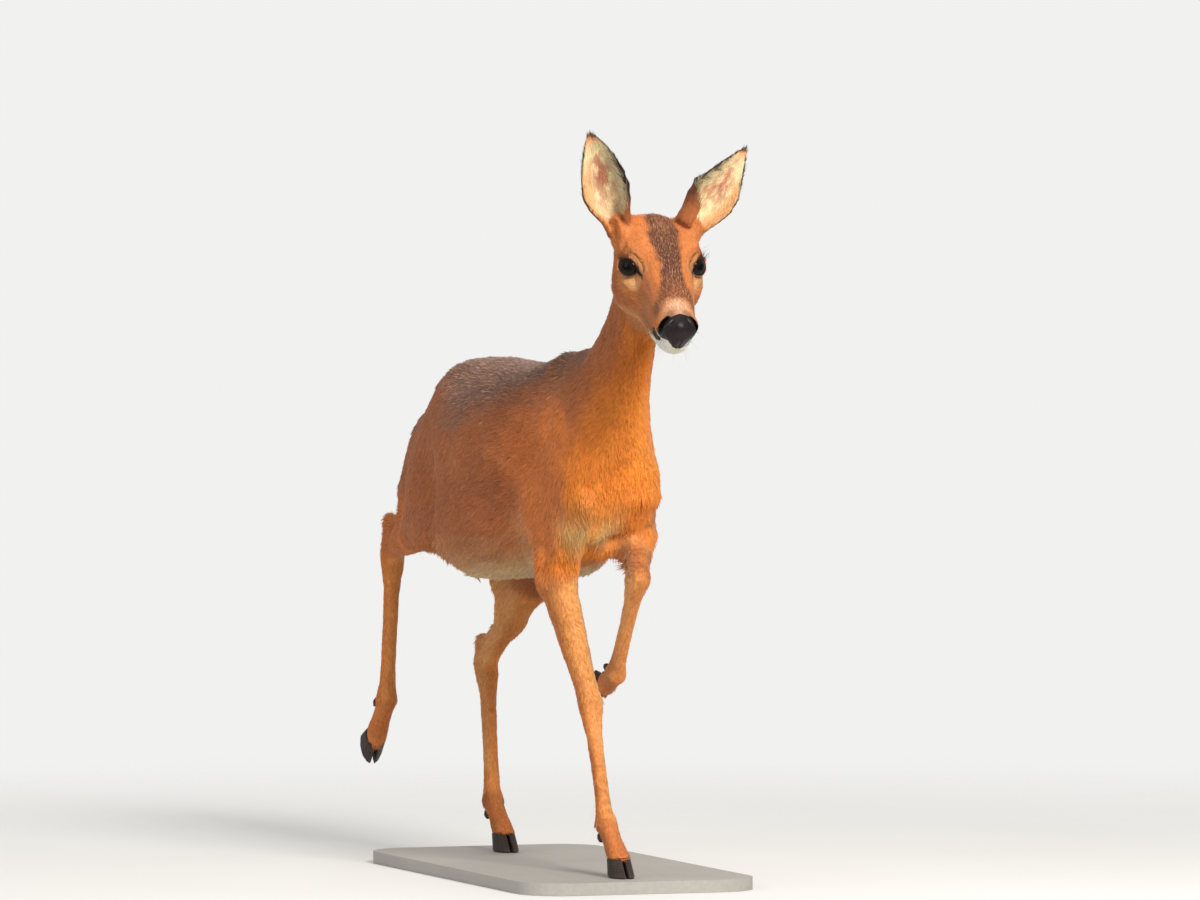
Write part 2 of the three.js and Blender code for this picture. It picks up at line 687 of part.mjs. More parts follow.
const bars = [];
for (const leg of LEGS) {
  const j = leg.joints;
  const sole = soleFrame(j, leg.planted);
  const start = lerp(j[leg.top[0]], j[leg.top[1]], leg.from);
  const chain = [start, j[leg.top[1]], j.fetlock, j.toe];
  const cuts = cutNormals(chain);
  cuts[3] = new THREE.Vector3(0, 0, -1).transformDirection(sole);
  const names = leg.name === "fore" ? ["forearm", "fore_cannon"] : ["shank", "hind_cannon"];
  names.push(`${leg.name}_pastern`);
  const halves = leg.name === "fore" ? [36, 26, 26] : [62, 32, 26];
  const dewclaws = [-1, 1].map((s) => {
    const pastern = vec(j.toe).sub(vec(j.fetlock)).normalize();
    const behind = pastern.clone().cross(new THREE.Vector3(1, 0, 0)).normalize().negate();
    const at = vec(j.fetlock).addScaledVector(pastern, DEWCLAW.below).addScaledVector(behind, DEWCLAW.behind);
    at.x += s * DEWCLAW.aside;
    const turn = new THREE.Matrix4().makeBasis(new THREE.Vector3(-1, 0, 0), behind, pastern).setPosition(at);
    return (grow) => {
      const ball = new THREE.SphereGeometry(1, 6, 4).scale(...DEWCLAW.size.map((r) => r + grow));
      return solidOf(ball.applyMatrix4(turn));
    };
  });
  names.forEach((name, i) => {
    const [a, b] = [chain[i], chain[i + 1]];
    const shares = SHARES[name.replace(/^(fore|hind)_/, "")];
    const around = i === 0 ? 12 : 10;
    const from = vec(a).addScaledVector(vec(b).sub(vec(a)).normalize(), GAP / 2).toArray();
    const to = vec(b).addScaledVector(vec(b).sub(vec(a)).normalize(), -GAP / 2).toArray();
    let part = shares
      ? solidOf(sleeve(body, ringsBetween([from, to], cuts[i], cuts[i + 1], shares), around, halves[i]))
      : meshAlong(a, b, halves[i] + 18).intersect(barAround(a, b, cuts[i], cuts[i + 1], halves[i]));
    if (i > 0) for (const dewclaw of dewclaws) part = part.subtract(dewclaw(GAP));
    keep(`${name}_${leg.side}`, part, "coat");
    if (i < 2) bars.push(barAround(a, b, cuts[i], cuts[i + 1], halves[i], GAP));
  });
  dewclaws.forEach((dewclaw, i) => {
    const which = (i === 0) === (leg.side === "right") ? "outer" : "inner";
    keep(`${leg.name}_dewclaw_${which}_${leg.side}`, dewclaw(0), "horn", 0.5);
  });
  for (const s of [-1, 1]) {
    const which = s === -1 === (leg.side === "left") ? "outer" : "inner";
    keep(`${leg.name}_claw_${which}_${leg.side}`, claw(s, sole), "horn", 0.5);
  }
}

// One claw of a cloven hoof: flat towards its twin, rounded outside, pointed at the toe.
function claw(s, frame) {
  const inner = [[0.5, 0.8], [0.12, 1], [0, 0.7], [0, -0.85]];
  const outline = [...inner, [0.5, -1], [0.92, -0.7], [1, -0.15], [0.86, 0.4]];
  const rings = [0, 0.12, 1].map((share) => {
    const [heel, toe] = lerp(CLAW.sole, CLAW.coronet, share).map((v, i) => v + (share === 0 ? 1.5 - 3 * i : 0));
    const width = CLAW.width * (share === 0 ? 0.93 : 1 - 0.1 * share);
    const ring = outline.map(([x, y]) => {
      const at = [s * (CLAW.cleft / 2 + x * width), (heel + toe + y * (toe - heel)) / 2, share * CLAW.height];
      return vec(at).applyMatrix4(frame).toArray();
    });
    return s > 0 ? ring : ring.reverse();
  });
  return solidOf(loftOf(rings));
}

// ---- Haunches: an oval outline, shallow over the rump and right through below it ----

const HAUNCH = { middle: [302, 470], radii: [120, 176], shallow: 24, deepBelow: 500 };

function haunchCutter(side, grow) {
  const radii = HAUNCH.radii.map((r) => r + grow);
  const outline = new THREE.Shape().absellipse(...HAUNCH.middle, ...radii, 0, 2 * Math.PI);
  const oval = (inner) => {
    const depth = 200 - inner;
    const slab = new THREE.ExtrudeGeometry(outline, { depth, bevelEnabled: false, curveSegments: 24 });
    slab.applyMatrix4(new THREE.Matrix4().makeBasis(...[[0, 1, 0], [0, 0, 1], [1, 0, 0]].map(vec)));
    slab.translate(side > 0 ? inner : -200, 0, 0);
    return solidOf(slab);
  };
  const low = solidOf(box([-300, 0, 0], [300, 600, HAUNCH.deepBelow + grow]));
  return oval(HAUNCH.shallow - grow).add(oval(GAP / 2).intersect(low));
}

function meshBox(low, high, cell) {
  return solidOf(surfaceOf(body, low, high, cell));
}

const legBars = bars.reduce((all, bar) => all.add(bar));
for (const [side, name] of [[-1, "right"], [1, "left"]]) {
  const [low, high] = side < 0 ? [-140, 20] : [-20, 140];
  const block = meshBox([low, 165, 270], [high, 440, 660], [22.5, 26, 25]);
  keep(`thigh_${name}`, block.intersect(haunchCutter(side, 0)).subtract(legBars), "coat");
}

// ---- Trunk, tail, neck and head ----

const toNeck = new THREE.Vector3(0, -0.757, 0.654);
const toHead = new THREE.Vector3(0, 0.25, 0.97).transformDirection(headFrame);
const neckStart = [0, -188, 612];
const neckEnd = inHead(0, -20, -74).toArray();
const past = (point, normal, by) => vec(point).addScaledVector(normal, by).toArray();

function tail(grow) {
  const [w, d, h] = TAIL.size.map((r) => r + grow);
  return solidOf(new THREE.SphereGeometry(1, 10, 6).scale(w, d, h).translate(...TAIL.middle));
}

let trunk = meshBox([-140, -270, 340], [140, 420, 700], [27, 34, 28]);
trunk = trunk.intersect(halfSpace(past(neckStart, toNeck, -GAP / 2), toNeck.clone().negate()));
const cutters = [legBars, haunchCutter(-1, GAP), haunchCutter(1, GAP), tail(GAP)];
trunk = cutters.reduce((left, cutter) => left.subtract(cutter), trunk);
keep("trunk", trunk, "coat");
keep("tail", tail(0), "pale");

const neckLine = [neckStart, [0, -262, 696], [0, -318, 762], neckEnd];
const neckRings = ringsBetween(neckLine, toNeck, toHead, [0, 0.14, 0.28, 0.42, 0.56, 0.7, 0.82, 0.92, 1]);
neckRings[0].at.addScaledVector(toNeck, GAP / 2);
neckRings[neckRings.length - 1].at.addScaledVector(toHead, -GAP / 2);
keep("neck", solidOf(sleeve(body, neckRings, 24, 140)), "coat");

const eyeAt = (s) => inHead(s * EYE.side, EYE.up, EYE.ahead);
function eyeBall(s, grow) {
  const frame = headFrame.clone().setPosition(eyeAt(s));
  return solidOf(new THREE.SphereGeometry(EYE.radius + grow, 12, 9).applyMatrix4(frame));
}
// The opening between the lids: an oval bore around the eye's axis, down to the lids' edge on the ball.
function lidOpening(s) {
  const [side, up, ahead] = EYE.facing;
  const out = new THREE.Vector3(s * side, up, ahead).transformDirection(headFrame);
  const along = new THREE.Vector3(0, -0.15, 1).transformDirection(headFrame);
  along.addScaledVector(out, -along.dot(out)).normalize();
  const frame = new THREE.Matrix4().makeBasis(along, out, along.clone().cross(out)).setPosition(eyeAt(s));
  const bore = new THREE.CylinderGeometry(1.45, 1, 30, 16).translate(0, 15 + EYE.radius * 0.36, 0);
  return solidOf(bore.scale(EYE.opening[0], 1, EYE.opening[1]).applyMatrix4(frame));
}

function noseCutter(grow) {
  const frame = headFrame.clone().setPosition(inHead(0, NOSE.up, NOSE.ahead));
  const size = NOSE.size.map((r) => r + grow);
  return solidOf(new THREE.SphereGeometry(1, 14, 9).scale(...size).applyMatrix4(frame));
}

// ---- Ears: cupped leaves, rolled into a funnel at the root ----

// Rows from root to tip: [share, back radius, half angle the shell wraps around].
const EAR_ROWS = [
  [-0.06, 16, 128],
  [0.1, 19.5, 120],
  [0.24, 27, 98],
  [0.38, 33.5, 75],
  [0.54, 36.5, 56],
  [0.7, 37.5, 41],
  [0.84, 36, 28],
  [0.94, 35, 16],
  [1, 33, 6],
];

function ear({ root, reach, facing, turn, wide, slim }, grow) {
  const along = vec(reach);
  const up = along.clone().normalize();
  const open = vec(facing);
  open.addScaledVector(up, -open.dot(up)).normalize();
  const side = up.clone().cross(open);
  const half = 5;
  const rings = EAR_ROWS.map(([share, size, wrap]) => {
    const radius = size * THREE.MathUtils.lerp(wide[0], wide[1], share);
    const thick = EAR_THICK * (share > 0.9 ? 0.7 : 1) + (share < 0.1 ? 1.5 : 0);
    const back = inHead(...root).addScaledVector(along, share).addScaledVector(open, -13 + 6 * share);
    const blade = THREE.MathUtils.smoothstep(share, 0.05, 0.54);
    const ring = [];
    for (const [r, sign] of [[radius + grow, 1], [radius - thick - grow, -1]])
      for (let i = -half; i <= half; i++) {
        const kept = THREE.MathUtils.lerp(1, slim[sign * i > 0 ? 0 : 1], blade);
        const angle = THREE.MathUtils.degToRad((-sign * i * wrap * kept) / half - turn * (1 - blade));
        const p = back.clone().addScaledVector(open, radius - r * Math.cos(angle));
        ring.push(p.addScaledVector(side, r * Math.sin(angle)).toArray());
      }
    return ring;
  });
  return solidOf(loftOf(rings));
}

const headLine = [[0, -36, 125], [0, -37, 90], [0, -30, 40], [0, -24, -10]].map((p) => inHead(...p).toArray());
const headShares = [0, 0.018, 0.045, 0.08, 0.12, 0.17, 0.23, 0.3, 0.38, 0.46, 0.53, 0.58, 0.63, 0.68, 0.73];
const headRings = ringsBetween(
  [...headLine, neckEnd],
  new THREE.Vector3(0, 0, 1).transformDirection(headFrame),
  toHead,
  [...headShares, 0.79, 0.85, 0.92, 1],
);
headRings[headRings.length - 1].at.addScaledVector(toHead, GAP / 2);
headRings.reverse();
const headSleeve = (form) => solidOf(sleeve(form, headRings, 26, 120, vec(headSide)));
let head = headSleeve(body);
const headWithGap = headSleeve({ distance: (x, y, z) => body.distance(x, y, z) - GAP });
for (const s of [-1, 1]) head = head.subtract(lidOpening(s)).subtract(eyeBall(s, GAP));
keep("nose", head.intersect(noseCutter(0)), "nose", 0.35);
keep("head", head.subtract(noseCutter(GAP)), "coat");
keep("eye_right", eyeBall(-1, 0), "eye", 0.1);
keep("eye_left", eyeBall(1, 0), "eye", 0.1);

for (const name of ["right", "left"]) keep(`ear_${name}`, ear(EARS[name], 0).subtract(headWithGap), "pale");

// ---- Base plate ----

{
  const { width, front, back, thick, corner, clear } = BASE;
  const [w, middle] = [width / 2 - corner, (front + back) / 2];
  const outline = new THREE.Shape();
  for (const [x, y, from] of [
    [w, back - corner, 0],
    [-w, back - corner, 0.5],
    [-w, front + corner, 1],
    [w, front + corner, 1.5],
  ]) {
    outline.absarc(x, y, corner, from * Math.PI, (from + 0.5) * Math.PI);
  }
  const plate = new THREE.ExtrudeGeometry(outline, { depth: thick, bevelEnabled: false, curveSegments: 5 });
  keep("stand_base", solidOf(plate.translate(0, 0, -thick - clear)), "base", 0.6);
}

const root = new THREE.Group();
const bounds = new THREE.Box3();
const meshes = [...solids].map(([name, solid]) => {
  const mesh = new THREE.Mesh(geometryOf(solid), looks.get(name));
  mesh.name = name;
  mesh.geometry.computeBoundingBox();
  bounds.union(mesh.geometry.boundingBox);
  return mesh;
});
const middle = bounds.getCenter(new THREE.Vector3());
for (const mesh of meshes) {
  mesh.geometry.translate(-middle.x, -middle.y, -bounds.min.z);
  root.add(mesh);
}
export default root;
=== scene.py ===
"""A roe deer doe in summer coat, life size, on a museum base plate.

One skin stands for all the nodes of flesh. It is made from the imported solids, smoothed, and drawn in by the
depth of the coat. The coat is made of small keeled tufts that follow the lie of the hair. Eyeballs, nose
pad, lashes, whiskers and claws are pieces of their own.
"""
import math

import bpy
import numpy as np
from mathutils import Matrix, Vector
from mathutils.bvhtree import BVHTree
from mathutils.kdtree import KDTree


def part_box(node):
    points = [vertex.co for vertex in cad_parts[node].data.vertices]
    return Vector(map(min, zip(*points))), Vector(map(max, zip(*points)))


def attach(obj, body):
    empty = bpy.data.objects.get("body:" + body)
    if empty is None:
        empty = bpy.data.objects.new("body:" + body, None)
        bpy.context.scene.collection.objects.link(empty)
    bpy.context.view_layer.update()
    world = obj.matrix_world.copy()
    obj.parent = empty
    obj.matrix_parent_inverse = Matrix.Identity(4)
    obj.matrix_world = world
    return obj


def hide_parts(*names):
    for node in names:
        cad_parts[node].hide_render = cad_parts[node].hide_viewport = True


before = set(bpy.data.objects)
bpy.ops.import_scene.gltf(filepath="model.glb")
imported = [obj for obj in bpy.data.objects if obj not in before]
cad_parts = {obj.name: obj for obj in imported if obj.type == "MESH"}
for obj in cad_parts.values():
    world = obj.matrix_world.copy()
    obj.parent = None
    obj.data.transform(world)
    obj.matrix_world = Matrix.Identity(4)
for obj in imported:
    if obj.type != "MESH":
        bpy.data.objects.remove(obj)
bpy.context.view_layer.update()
rng = np.random.default_rng(20)
scene = bpy.context.scene
MM = 0.001

# ---- places, taken from the solids

def middle_of(node):
    low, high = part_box(node)
    return np.array((low + high) / 2)


base_low, base_high = (np.array(v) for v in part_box("stand_base"))
# Where the ground under the animal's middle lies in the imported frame.
ORIGIN = np.array([0.0, (base_low[1] + base_high[1]) / 2 + 15 * MM, base_high[2] + 0.4 * MM])
EYES = {"right": middle_of("eye_right"), "left": middle_of("eye_left")}
HEAD_TURN = np.array(Matrix.Rotation(math.radians(-8), 3, "Z") @ Matrix.Rotation(math.radians(115), 3, "X"))
HEAD = (EYES["right"] + EYES["left"]) / 2 - HEAD_TURN @ np.array([0, -2, -8]) * MM


def to_head(points):
    """Millimetres to the animal's left, up and ahead, from between its eyes."""
    return (points - HEAD) @ HEAD_TURN / MM


def from_head(points):
    return HEAD + (np.asarray(points, float) * MM) @ HEAD_TURN.T


def unit(v):
    v = np.asarray(v, float)
    return v / np.maximum(np.linalg.norm(v, axis=-1, keepdims=True), 1e-12)


# ---- small mesh tools

def welded(node):
    """A node's points, merged where they coincide, and its triangles."""
    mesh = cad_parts[node].data
    co = np.empty(len(mesh.vertices) * 3)
    mesh.vertices.foreach_get("co", co)
    mesh.calc_loop_triangles()
    tri = np.empty(len(mesh.loop_triangles) * 3, np.int64)
    mesh.loop_triangles.foreach_get("vertices", tri)
    points, index = np.unique(np.round(co.reshape(-1, 3), 6), axis=0, return_inverse=True)
    tri = index.ravel()[tri].reshape(-1, 3)
    return points, tri[(tri[:, 0] != tri[:, 1]) & (tri[:, 1] != tri[:, 2]) & (tri[:, 0] != tri[:, 2])]


def normals_of(co, faces):
    """The points' normals, from triangles or quads."""
    if faces.shape[1] == 4:
        n = np.cross(co[faces[:, 2]] - co[faces[:, 0]], co[faces[:, 3]] - co[faces[:, 1]])
    else:
        n = np.cross(co[faces[:, 1]] - co[faces[:, 0]], co[faces[:, 2]] - co[faces[:, 0]])
    out = np.empty_like(co)
    flat = faces.ravel()
    for axis in range(3):
        out[:, axis] = np.bincount(flat, np.repeat(n[:, axis], faces.shape[1]), len(co))
    return unit(out)


def new_object(name, co, faces, smooth=True):
    mesh = bpy.data.meshes.new(name)
    mesh.vertices.add(len(co))
    mesh.vertices.foreach_set("co", np.ascontiguousarray(co, np.float32).ravel())
    mesh.loops.add(faces.size)
    mesh.loops.foreach_set("vertex_index", np.ascontiguousarray(faces, np.int32).ravel())
    mesh.polygons.add(len(faces))
    mesh.polygons.foreach_set("loop_start", np.arange(0, faces.size, faces.shape[1], dtype=np.int32))
    mesh.polygons.foreach_set("use_smooth", np.full(len(faces), smooth))
    mesh.update(calc_edges=True)
    ob = bpy.data.objects.new(name, mesh)
    scene.collection.objects.link(ob)
    return ob


def remeshed(nodes, voxel, grow=0.5 * MM):
    """The outer surface of several solids together, in even quads."""
    parts, faces, count = [], [], 0
    for node in nodes:
        co, tri = welded(node)
        parts.append(co + normals_of(co, tri) * grow)
        faces.append(tri + count)
        count += len(co)
    ob = new_object("raw", np.concatenate(parts), np.concatenate(faces))
    change = ob.modifiers.new("even", "REMESH")
    change.mode = "VOXEL"
    change.voxel_size = voxel
    even = ob.evaluated_get(bpy.context.evaluated_depsgraph_get()).to_mesh()
    co = np.empty(len(even.vertices) * 3)
    even.vertices.foreach_get("co", co)
    quads = np.empty(len(even.loops), np.int64)
    even.loops.foreach_get("vertex_index", quads)
    bpy.data.objects.remove(ob)
    return co.reshape(-1, 3), quads.reshape(-1, 4)


def halved(quads):
    """Two triangles for each quad."""
    return np.concatenate([quads[:, [0, 1, 2]], quads[:, [0, 2, 3]]])


def sides_of(faces):
    """The faces' sides as pairs of points: all the first sides, then all the second ones, and so on."""
    corners = faces.shape[1]
    return np.concatenate([faces[:, [k, (k + 1) % corners]] for k in range(corners)])


def edges_of(faces):
    pairs = sides_of(faces)
    pairs = pairs[pairs[:, 0] != pairs[:, 1]]
    return np.unique(np.sort(pairs, axis=1), axis=0)


def spread(values, edges, passes, share=0.5, weight=1.0, back=0.0):
    """Evens out values over the mesh. With back below zero it keeps volumes (Taubin's method)."""
    i, j = edges.T
    n = len(values)
    wide = values.reshape(n, -1).copy()
    degree = np.maximum(np.bincount(edges.ravel(), minlength=n), 1)[:, None]
    weight = np.broadcast_to(np.reshape(weight, (-1, 1)), (n, 1))
    near = np.empty_like(wide)
    for _ in range(passes):
        for factor in (share, back) if back else (share,):
            for c in range(wide.shape[1]):
                near[:, c] = np.bincount(i, wide[j, c], n) + np.bincount(j, wide[i, c], n)
            wide += factor * weight * (near / degree - wide)
    return wide.reshape(values.shape)


def ramp(x, low, high):
    t = np.clip((np.asarray(x, float) - low) / (high - low), 0, 1)
    return t * t * (3 - 2 * t)


def bump(x, middle, width):
    return np.exp(-(((np.asarray(x, float) - middle) / width) ** 2))


def noise(points, size, seed):
    """Smooth random values from 0 to 1, as they vary over a length of size."""
    p = points / size + seed * 17.31
    cell = np.floor(p).astype(np.int64)
    f = p - cell
    f = f * f * (3 - 2 * f)
    out = 0
    for corner in range(8):
        bits = np.array([corner & 1, corner >> 1 & 1, corner >> 2 & 1])
        c = cell + bits
        h = (c[:, 0] * 73856093) ^ (c[:, 1] * 19349663) ^ (c[:, 2] * 83492791) ^ (seed * 2654435)
        h = (h ^ (h >> 13)) * 1274126177 & 0x7FFFFFFF
        h = (h ^ (h >> 16)) & 0xFFFF
        out = out + (h / 65535) * np.prod(np.where(bits, f, 1 - f), axis=1)
    return out


# ---- the skin's surface

SIDES = ("right", "left")
LIMBS = [f"{part}_{side}" for side in SIDES for part in (
    "forearm", "fore_cannon", "fore_pastern", "thigh", "shank", "hind_cannon", "hind_pastern")]
FLESH = ["head", "nose", "neck", "trunk", "tail", "ear_right", "ear_left", *LIMBS]

FINE_STEP, COARSE_STEP = 2.0 * MM, 5.2 * MM
SEAM_GAP = 2.8 * MM
fine, fine_faces = remeshed(["head", "nose", "neck", "ear_right", "ear_left"], FINE_STEP)
coarse, coarse_faces = remeshed(["neck", "trunk", "tail", *LIMBS], COARSE_STEP)

# The neck's line, and the plane across it where the fine head meets the coarser body.
NECK_LOW = ORIGIN + np.array([0, -188, 612]) * MM
NECK_TOP = from_head([0, -20, -74])
neck_line = unit(NECK_TOP - NECK_LOW)
SEAM_SHARE = 0.62
seam_at = NECK_LOW + SEAM_SHARE * (NECK_TOP - NECK_LOW)


def kept(co, faces, keep):
    """The faces whose corners are all kept, and their points."""
    faces = faces[keep[faces].all(1)]
    used = np.unique(faces)
    index = np.full(len(co), -1)
    index[used] = np.arange(len(used))
    return co[used], index[faces]


def largest(co, faces):
    """The biggest connected piece."""
    label = np.arange(len(co))
    i, j = edges_of(faces).T
    while True:
        low = np.minimum(label[i], label[j])
        new = label.copy()
        np.minimum.at(new, i, low)
        np.minimum.at(new, j, low)
        new = new[new]
        if (new == label).all():
            break
        label = new
    names, counts = np.unique(label, return_counts=True)
    return kept(co, faces, label == names[counts.argmax()])


fine = spread(fine, edges_of(fine_faces), 20, 0.5, back=-0.52)
# The legs are evened out less, so that they stay thin and sharp.
limb = ramp(coarse[:, 2] - ORIGIN[2], 0.42, 0.30)
coarse = spread(coarse, edges_of(coarse_faces), 26, 0.55, weight=1 - 0.62 * limb, back=-0.56)

fine, fine_faces = largest(*kept(fine, fine_faces, (fine - seam_at) @ neck_line > SEAM_GAP))
coarse, coarse_faces = largest(*kept(coarse, coarse_faces, (coarse - seam_at) @ neck_line < -SEAM_GAP))


def rim(faces):
    """The open border's points, in order round the neck."""
    keys = set(map(tuple, sides_of(faces).tolist()))
    after = {b: a for a, b in keys if (b, a) not in keys}
    start = next(iter(after))
    loop, at = [start], after[start]
    while at != start:
        loop.append(at)
        at = after[at]
    return np.array(loop)


def round_neck(points):
    """The angle round the neck's line."""
    side = unit(np.cross([0, 1, 0], neck_line))
    front = np.cross(neck_line, side)
    rel = points - seam_at
    return np.arctan2(rel @ front, rel @ side)


def started(loop, points):
    """The loop turned so that it starts at the lowest angle and goes up, with its angles."""
    angle = round_neck(points[loop])
    if np.sum((np.diff(angle) + np.pi) % (2 * np.pi) - np.pi) < 0:
        loop, angle = loop[::-1], angle[::-1]
    start = angle.argmin()
    loop, angle = np.roll(loop, -start), np.roll(angle, -start)
    return loop, np.maximum.accumulate(angle)


head_rim, head_angle = started(rim(fine_faces), fine)
body_rim, body_angle = started(rim(coarse_faces), coarse)
# Each triangle of the band steps to the next point on one rim, in the order of their angles.
FULL_TURN = 2 * np.pi
next_angles = [body_angle[1:], body_angle[:1] + FULL_TURN, head_angle[1:], head_angle[:1] + FULL_TURN]
on_head = np.argsort(np.concatenate(next_angles), kind="stable") >= len(body_rim)
a, b = np.cumsum(on_head) - on_head, np.cumsum(~on_head) - ~on_head
head_loop, body_loop = np.tile(head_rim, 2), np.tile(body_rim + len(fine), 2)
band = np.stack([body_loop[b], np.where(on_head, head_loop[a + 1], body_loop[b + 1]), head_loop[a]], 1)
skin = np.concatenate([fine, coarse])
quads = np.concatenate([fine_faces, coarse_faces + len(fine)])
tris = np.concatenate([halved(quads), band])
edges = np.unique(np.concatenate([edges_of(quads), edges_of(band)]), axis=0)
near_seam = bump((skin - seam_at) @ neck_line, 0, 14 * MM)
skin = spread(skin, edges, 12, 0.5, weight=near_seam, back=-0.5)


def refined(co, faces, where):
    """Triangles with both ends of an edge in where are cut in four there, with no gap at the border."""
    sides = np.sort(sides_of(faces), axis=1)
    cut = where[sides].all(1)
    ends, index = np.unique(sides[cut], axis=0, return_inverse=True)
    middle = np.full(len(sides), -1)
    middle[cut] = index.ravel() + len(co)
    middle = middle.reshape(3, -1).T
    count = (middle >= 0).sum(1)
    t, m = faces[count == 3], middle[count == 3]
    out = [faces[count == 0], m]
    for k in range(3):
        out.append(np.stack([t[:, k], m[:, k], m[:, k - 1]], 1))
        turned = [(k + i) % 3 for i in range(3)]
        one = (count == 1) & (middle[:, k] >= 0)
        t1, m1 = faces[one][:, turned], middle[one, k]
        out.append(np.stack([t1[:, 0], m1, t1[:, 2]], 1))
        out.append(np.stack([m1, t1[:, 1], t1[:, 2]], 1))
    return np.concatenate([co, co[ends].mean(1)]), np.concatenate(out)


# The muzzle is cut finer, for the nostrils and lips.
for start in (76, 99):
    x, _, z = to_head(skin).T
    skin, tris = refined(skin, tris, (z > start) & (np.abs(x) < 60))
    near_tip = ramp(to_head(skin)[:, 2], start - 6, start + 4)
    skin = spread(skin, edges_of(tris), 5, 0.5, weight=near_tip, back=-0.52)

# ---- parts of the body

# For each part: the coat's depth, the tufts' length, width and rise in mm, and how many to a square mm.
COAT = {
    "head": (1.3, 6.0, 0.85, 1.3, 1.15), "nose": (0.5, 2.6, 0.6, 0.6, 1.6), "neck": (3.6, 15, 1.5, 3.6, 0.5),
    "trunk": (4.6, 17, 1.7, 4.4, 0.42), "tail": (5.0, 24, 1.8, 5.5, 0.6), "ear": (0.5, 5.5, 0.8, 0.7, 0.9),
    "forearm": (3.0, 11, 1.3, 2.6, 0.55), "fore_cannon": (1.6, 7.0, 1.0, 1.3, 0.9),
    "fore_pastern": (1.6, 6.0, 0.9, 1.3, 1.0), "thigh": (4.4, 16, 1.6, 4.0, 0.44),
    "shank": (3.0, 12, 1.3, 2.6, 0.55), "hind_cannon": (1.6, 7.5, 1.0, 1.3, 0.9),
    "hind_pastern": (1.6, 6.0, 0.9, 1.3, 1.0),
}
PARTS = list(COAT)


def folded(pairs):
    """Places in a square moved into its lower triangle."""
    return np.where(pairs.sum(0) > 1, 1 - pairs, pairs)


def sampled(node, spacing=5 * MM):
    """Points spread over a node's surface."""
    co, faces = welded(node)
    a, b, c = (co[faces[:, k]] for k in range(3))
    area = np.linalg.norm(np.cross(b - a, c - a), axis=1) / 2
    face = np.repeat(np.arange(len(faces)), np.ceil(area / spacing ** 2).astype(int))
    u, v = folded(rng.random((2, len(face), 1)))
    return a[face] + u * (b - a)[face] + v * (c - a)[face]


def nearest_nodes(points):
    """For each point, which node of flesh is nearest."""
    samples = [sampled(node) for node in FLESH]
    owner = np.repeat(np.arange(len(FLESH)), [len(s) for s in samples])
    tree = KDTree(len(owner))
    for index, p in enumerate(np.concatenate(samples).tolist()):
        tree.insert(p, index)
    tree.balance()
    return owner[np.array([tree.find(p)[1] for p in points.tolist()])]


def part_of(node):
    return PARTS.index(node.removesuffix("_right").removesuffix("_left"))


def longest_axis(node):
    """A limb node's direction, pointing down it."""
    co = welded(node)[0]
    axis = np.linalg.svd(co - co.mean(0), full_matrices=False)[2][0]
    return axis * -np.sign(axis[2])


# ---- the face's relief

def line_distance(line, at):
    """Distance from a line of points in the head's frame, and how far along it from 0 to 1."""
    best, along = np.full(len(at), 1e9), np.zeros(len(at))
    for k, (a, b) in enumerate(zip(line, line[1:])):
        t = np.clip((at - a) @ (b - a) / ((b - a) @ (b - a)), 0, 1)
        d = np.linalg.norm(at - a - t[:, None] * (b - a), axis=1)
        along = np.where(d < best, (k + t) / (len(line) - 1), along)
        best = np.minimum(best, d)
    return best, along


# The muzzle's middle lies this far to the animal's left of the eyes' middle, in mm.
MUZZLE_MIDDLE = 1.5
NOSTRIL = np.array([(-14.5, -16.5, 111), (-19, -20.5, 113), (-22, -26.5, 114.5), (-23, -33, 113),
                    (-21.5, -38, 111)])
MOUTH = np.array([(1, -57, 113), (-9, -56, 111), (-17, -53, 104), (-23, -49.5, 92), (-28, -47, 78),
                  (-31, -45, 62)])
# The nose pad's half width at some heights.
PAD_ROWS = np.array([(-58.4, 0), (-57, 4), (-54.5, 7.5), (-50, 11), (-45, 14.2), (-40.5, 18.2), (-35, 20.3),
                     (-27, 20.5), (-20.5, 18), (-17, 14), (-14.5, 8.5), (-13, 3.5), (-12.5, 0)]).T


def both_sides(line, at):
    """The nearer of a line on the right side and its mirror image on the left."""
    right, left = line_distance(line, at), line_distance(line * [-1, 1, 1] + [2, 0, 0], at)
    return np.minimum(right[0], left[0]), np.where(right[0] < left[0], right[1], left[1])


def pad_margin(at):
    """How far inside the nose pad's outline a place is, in mm, seen from ahead."""
    x, y, z = at.T
    half = np.interp(y, *PAD_ROWS)
    return np.where((z > 97) & (y > -58.4) & (y < -12.5), half - np.abs(x - MUZZLE_MIDDLE), -9.0)


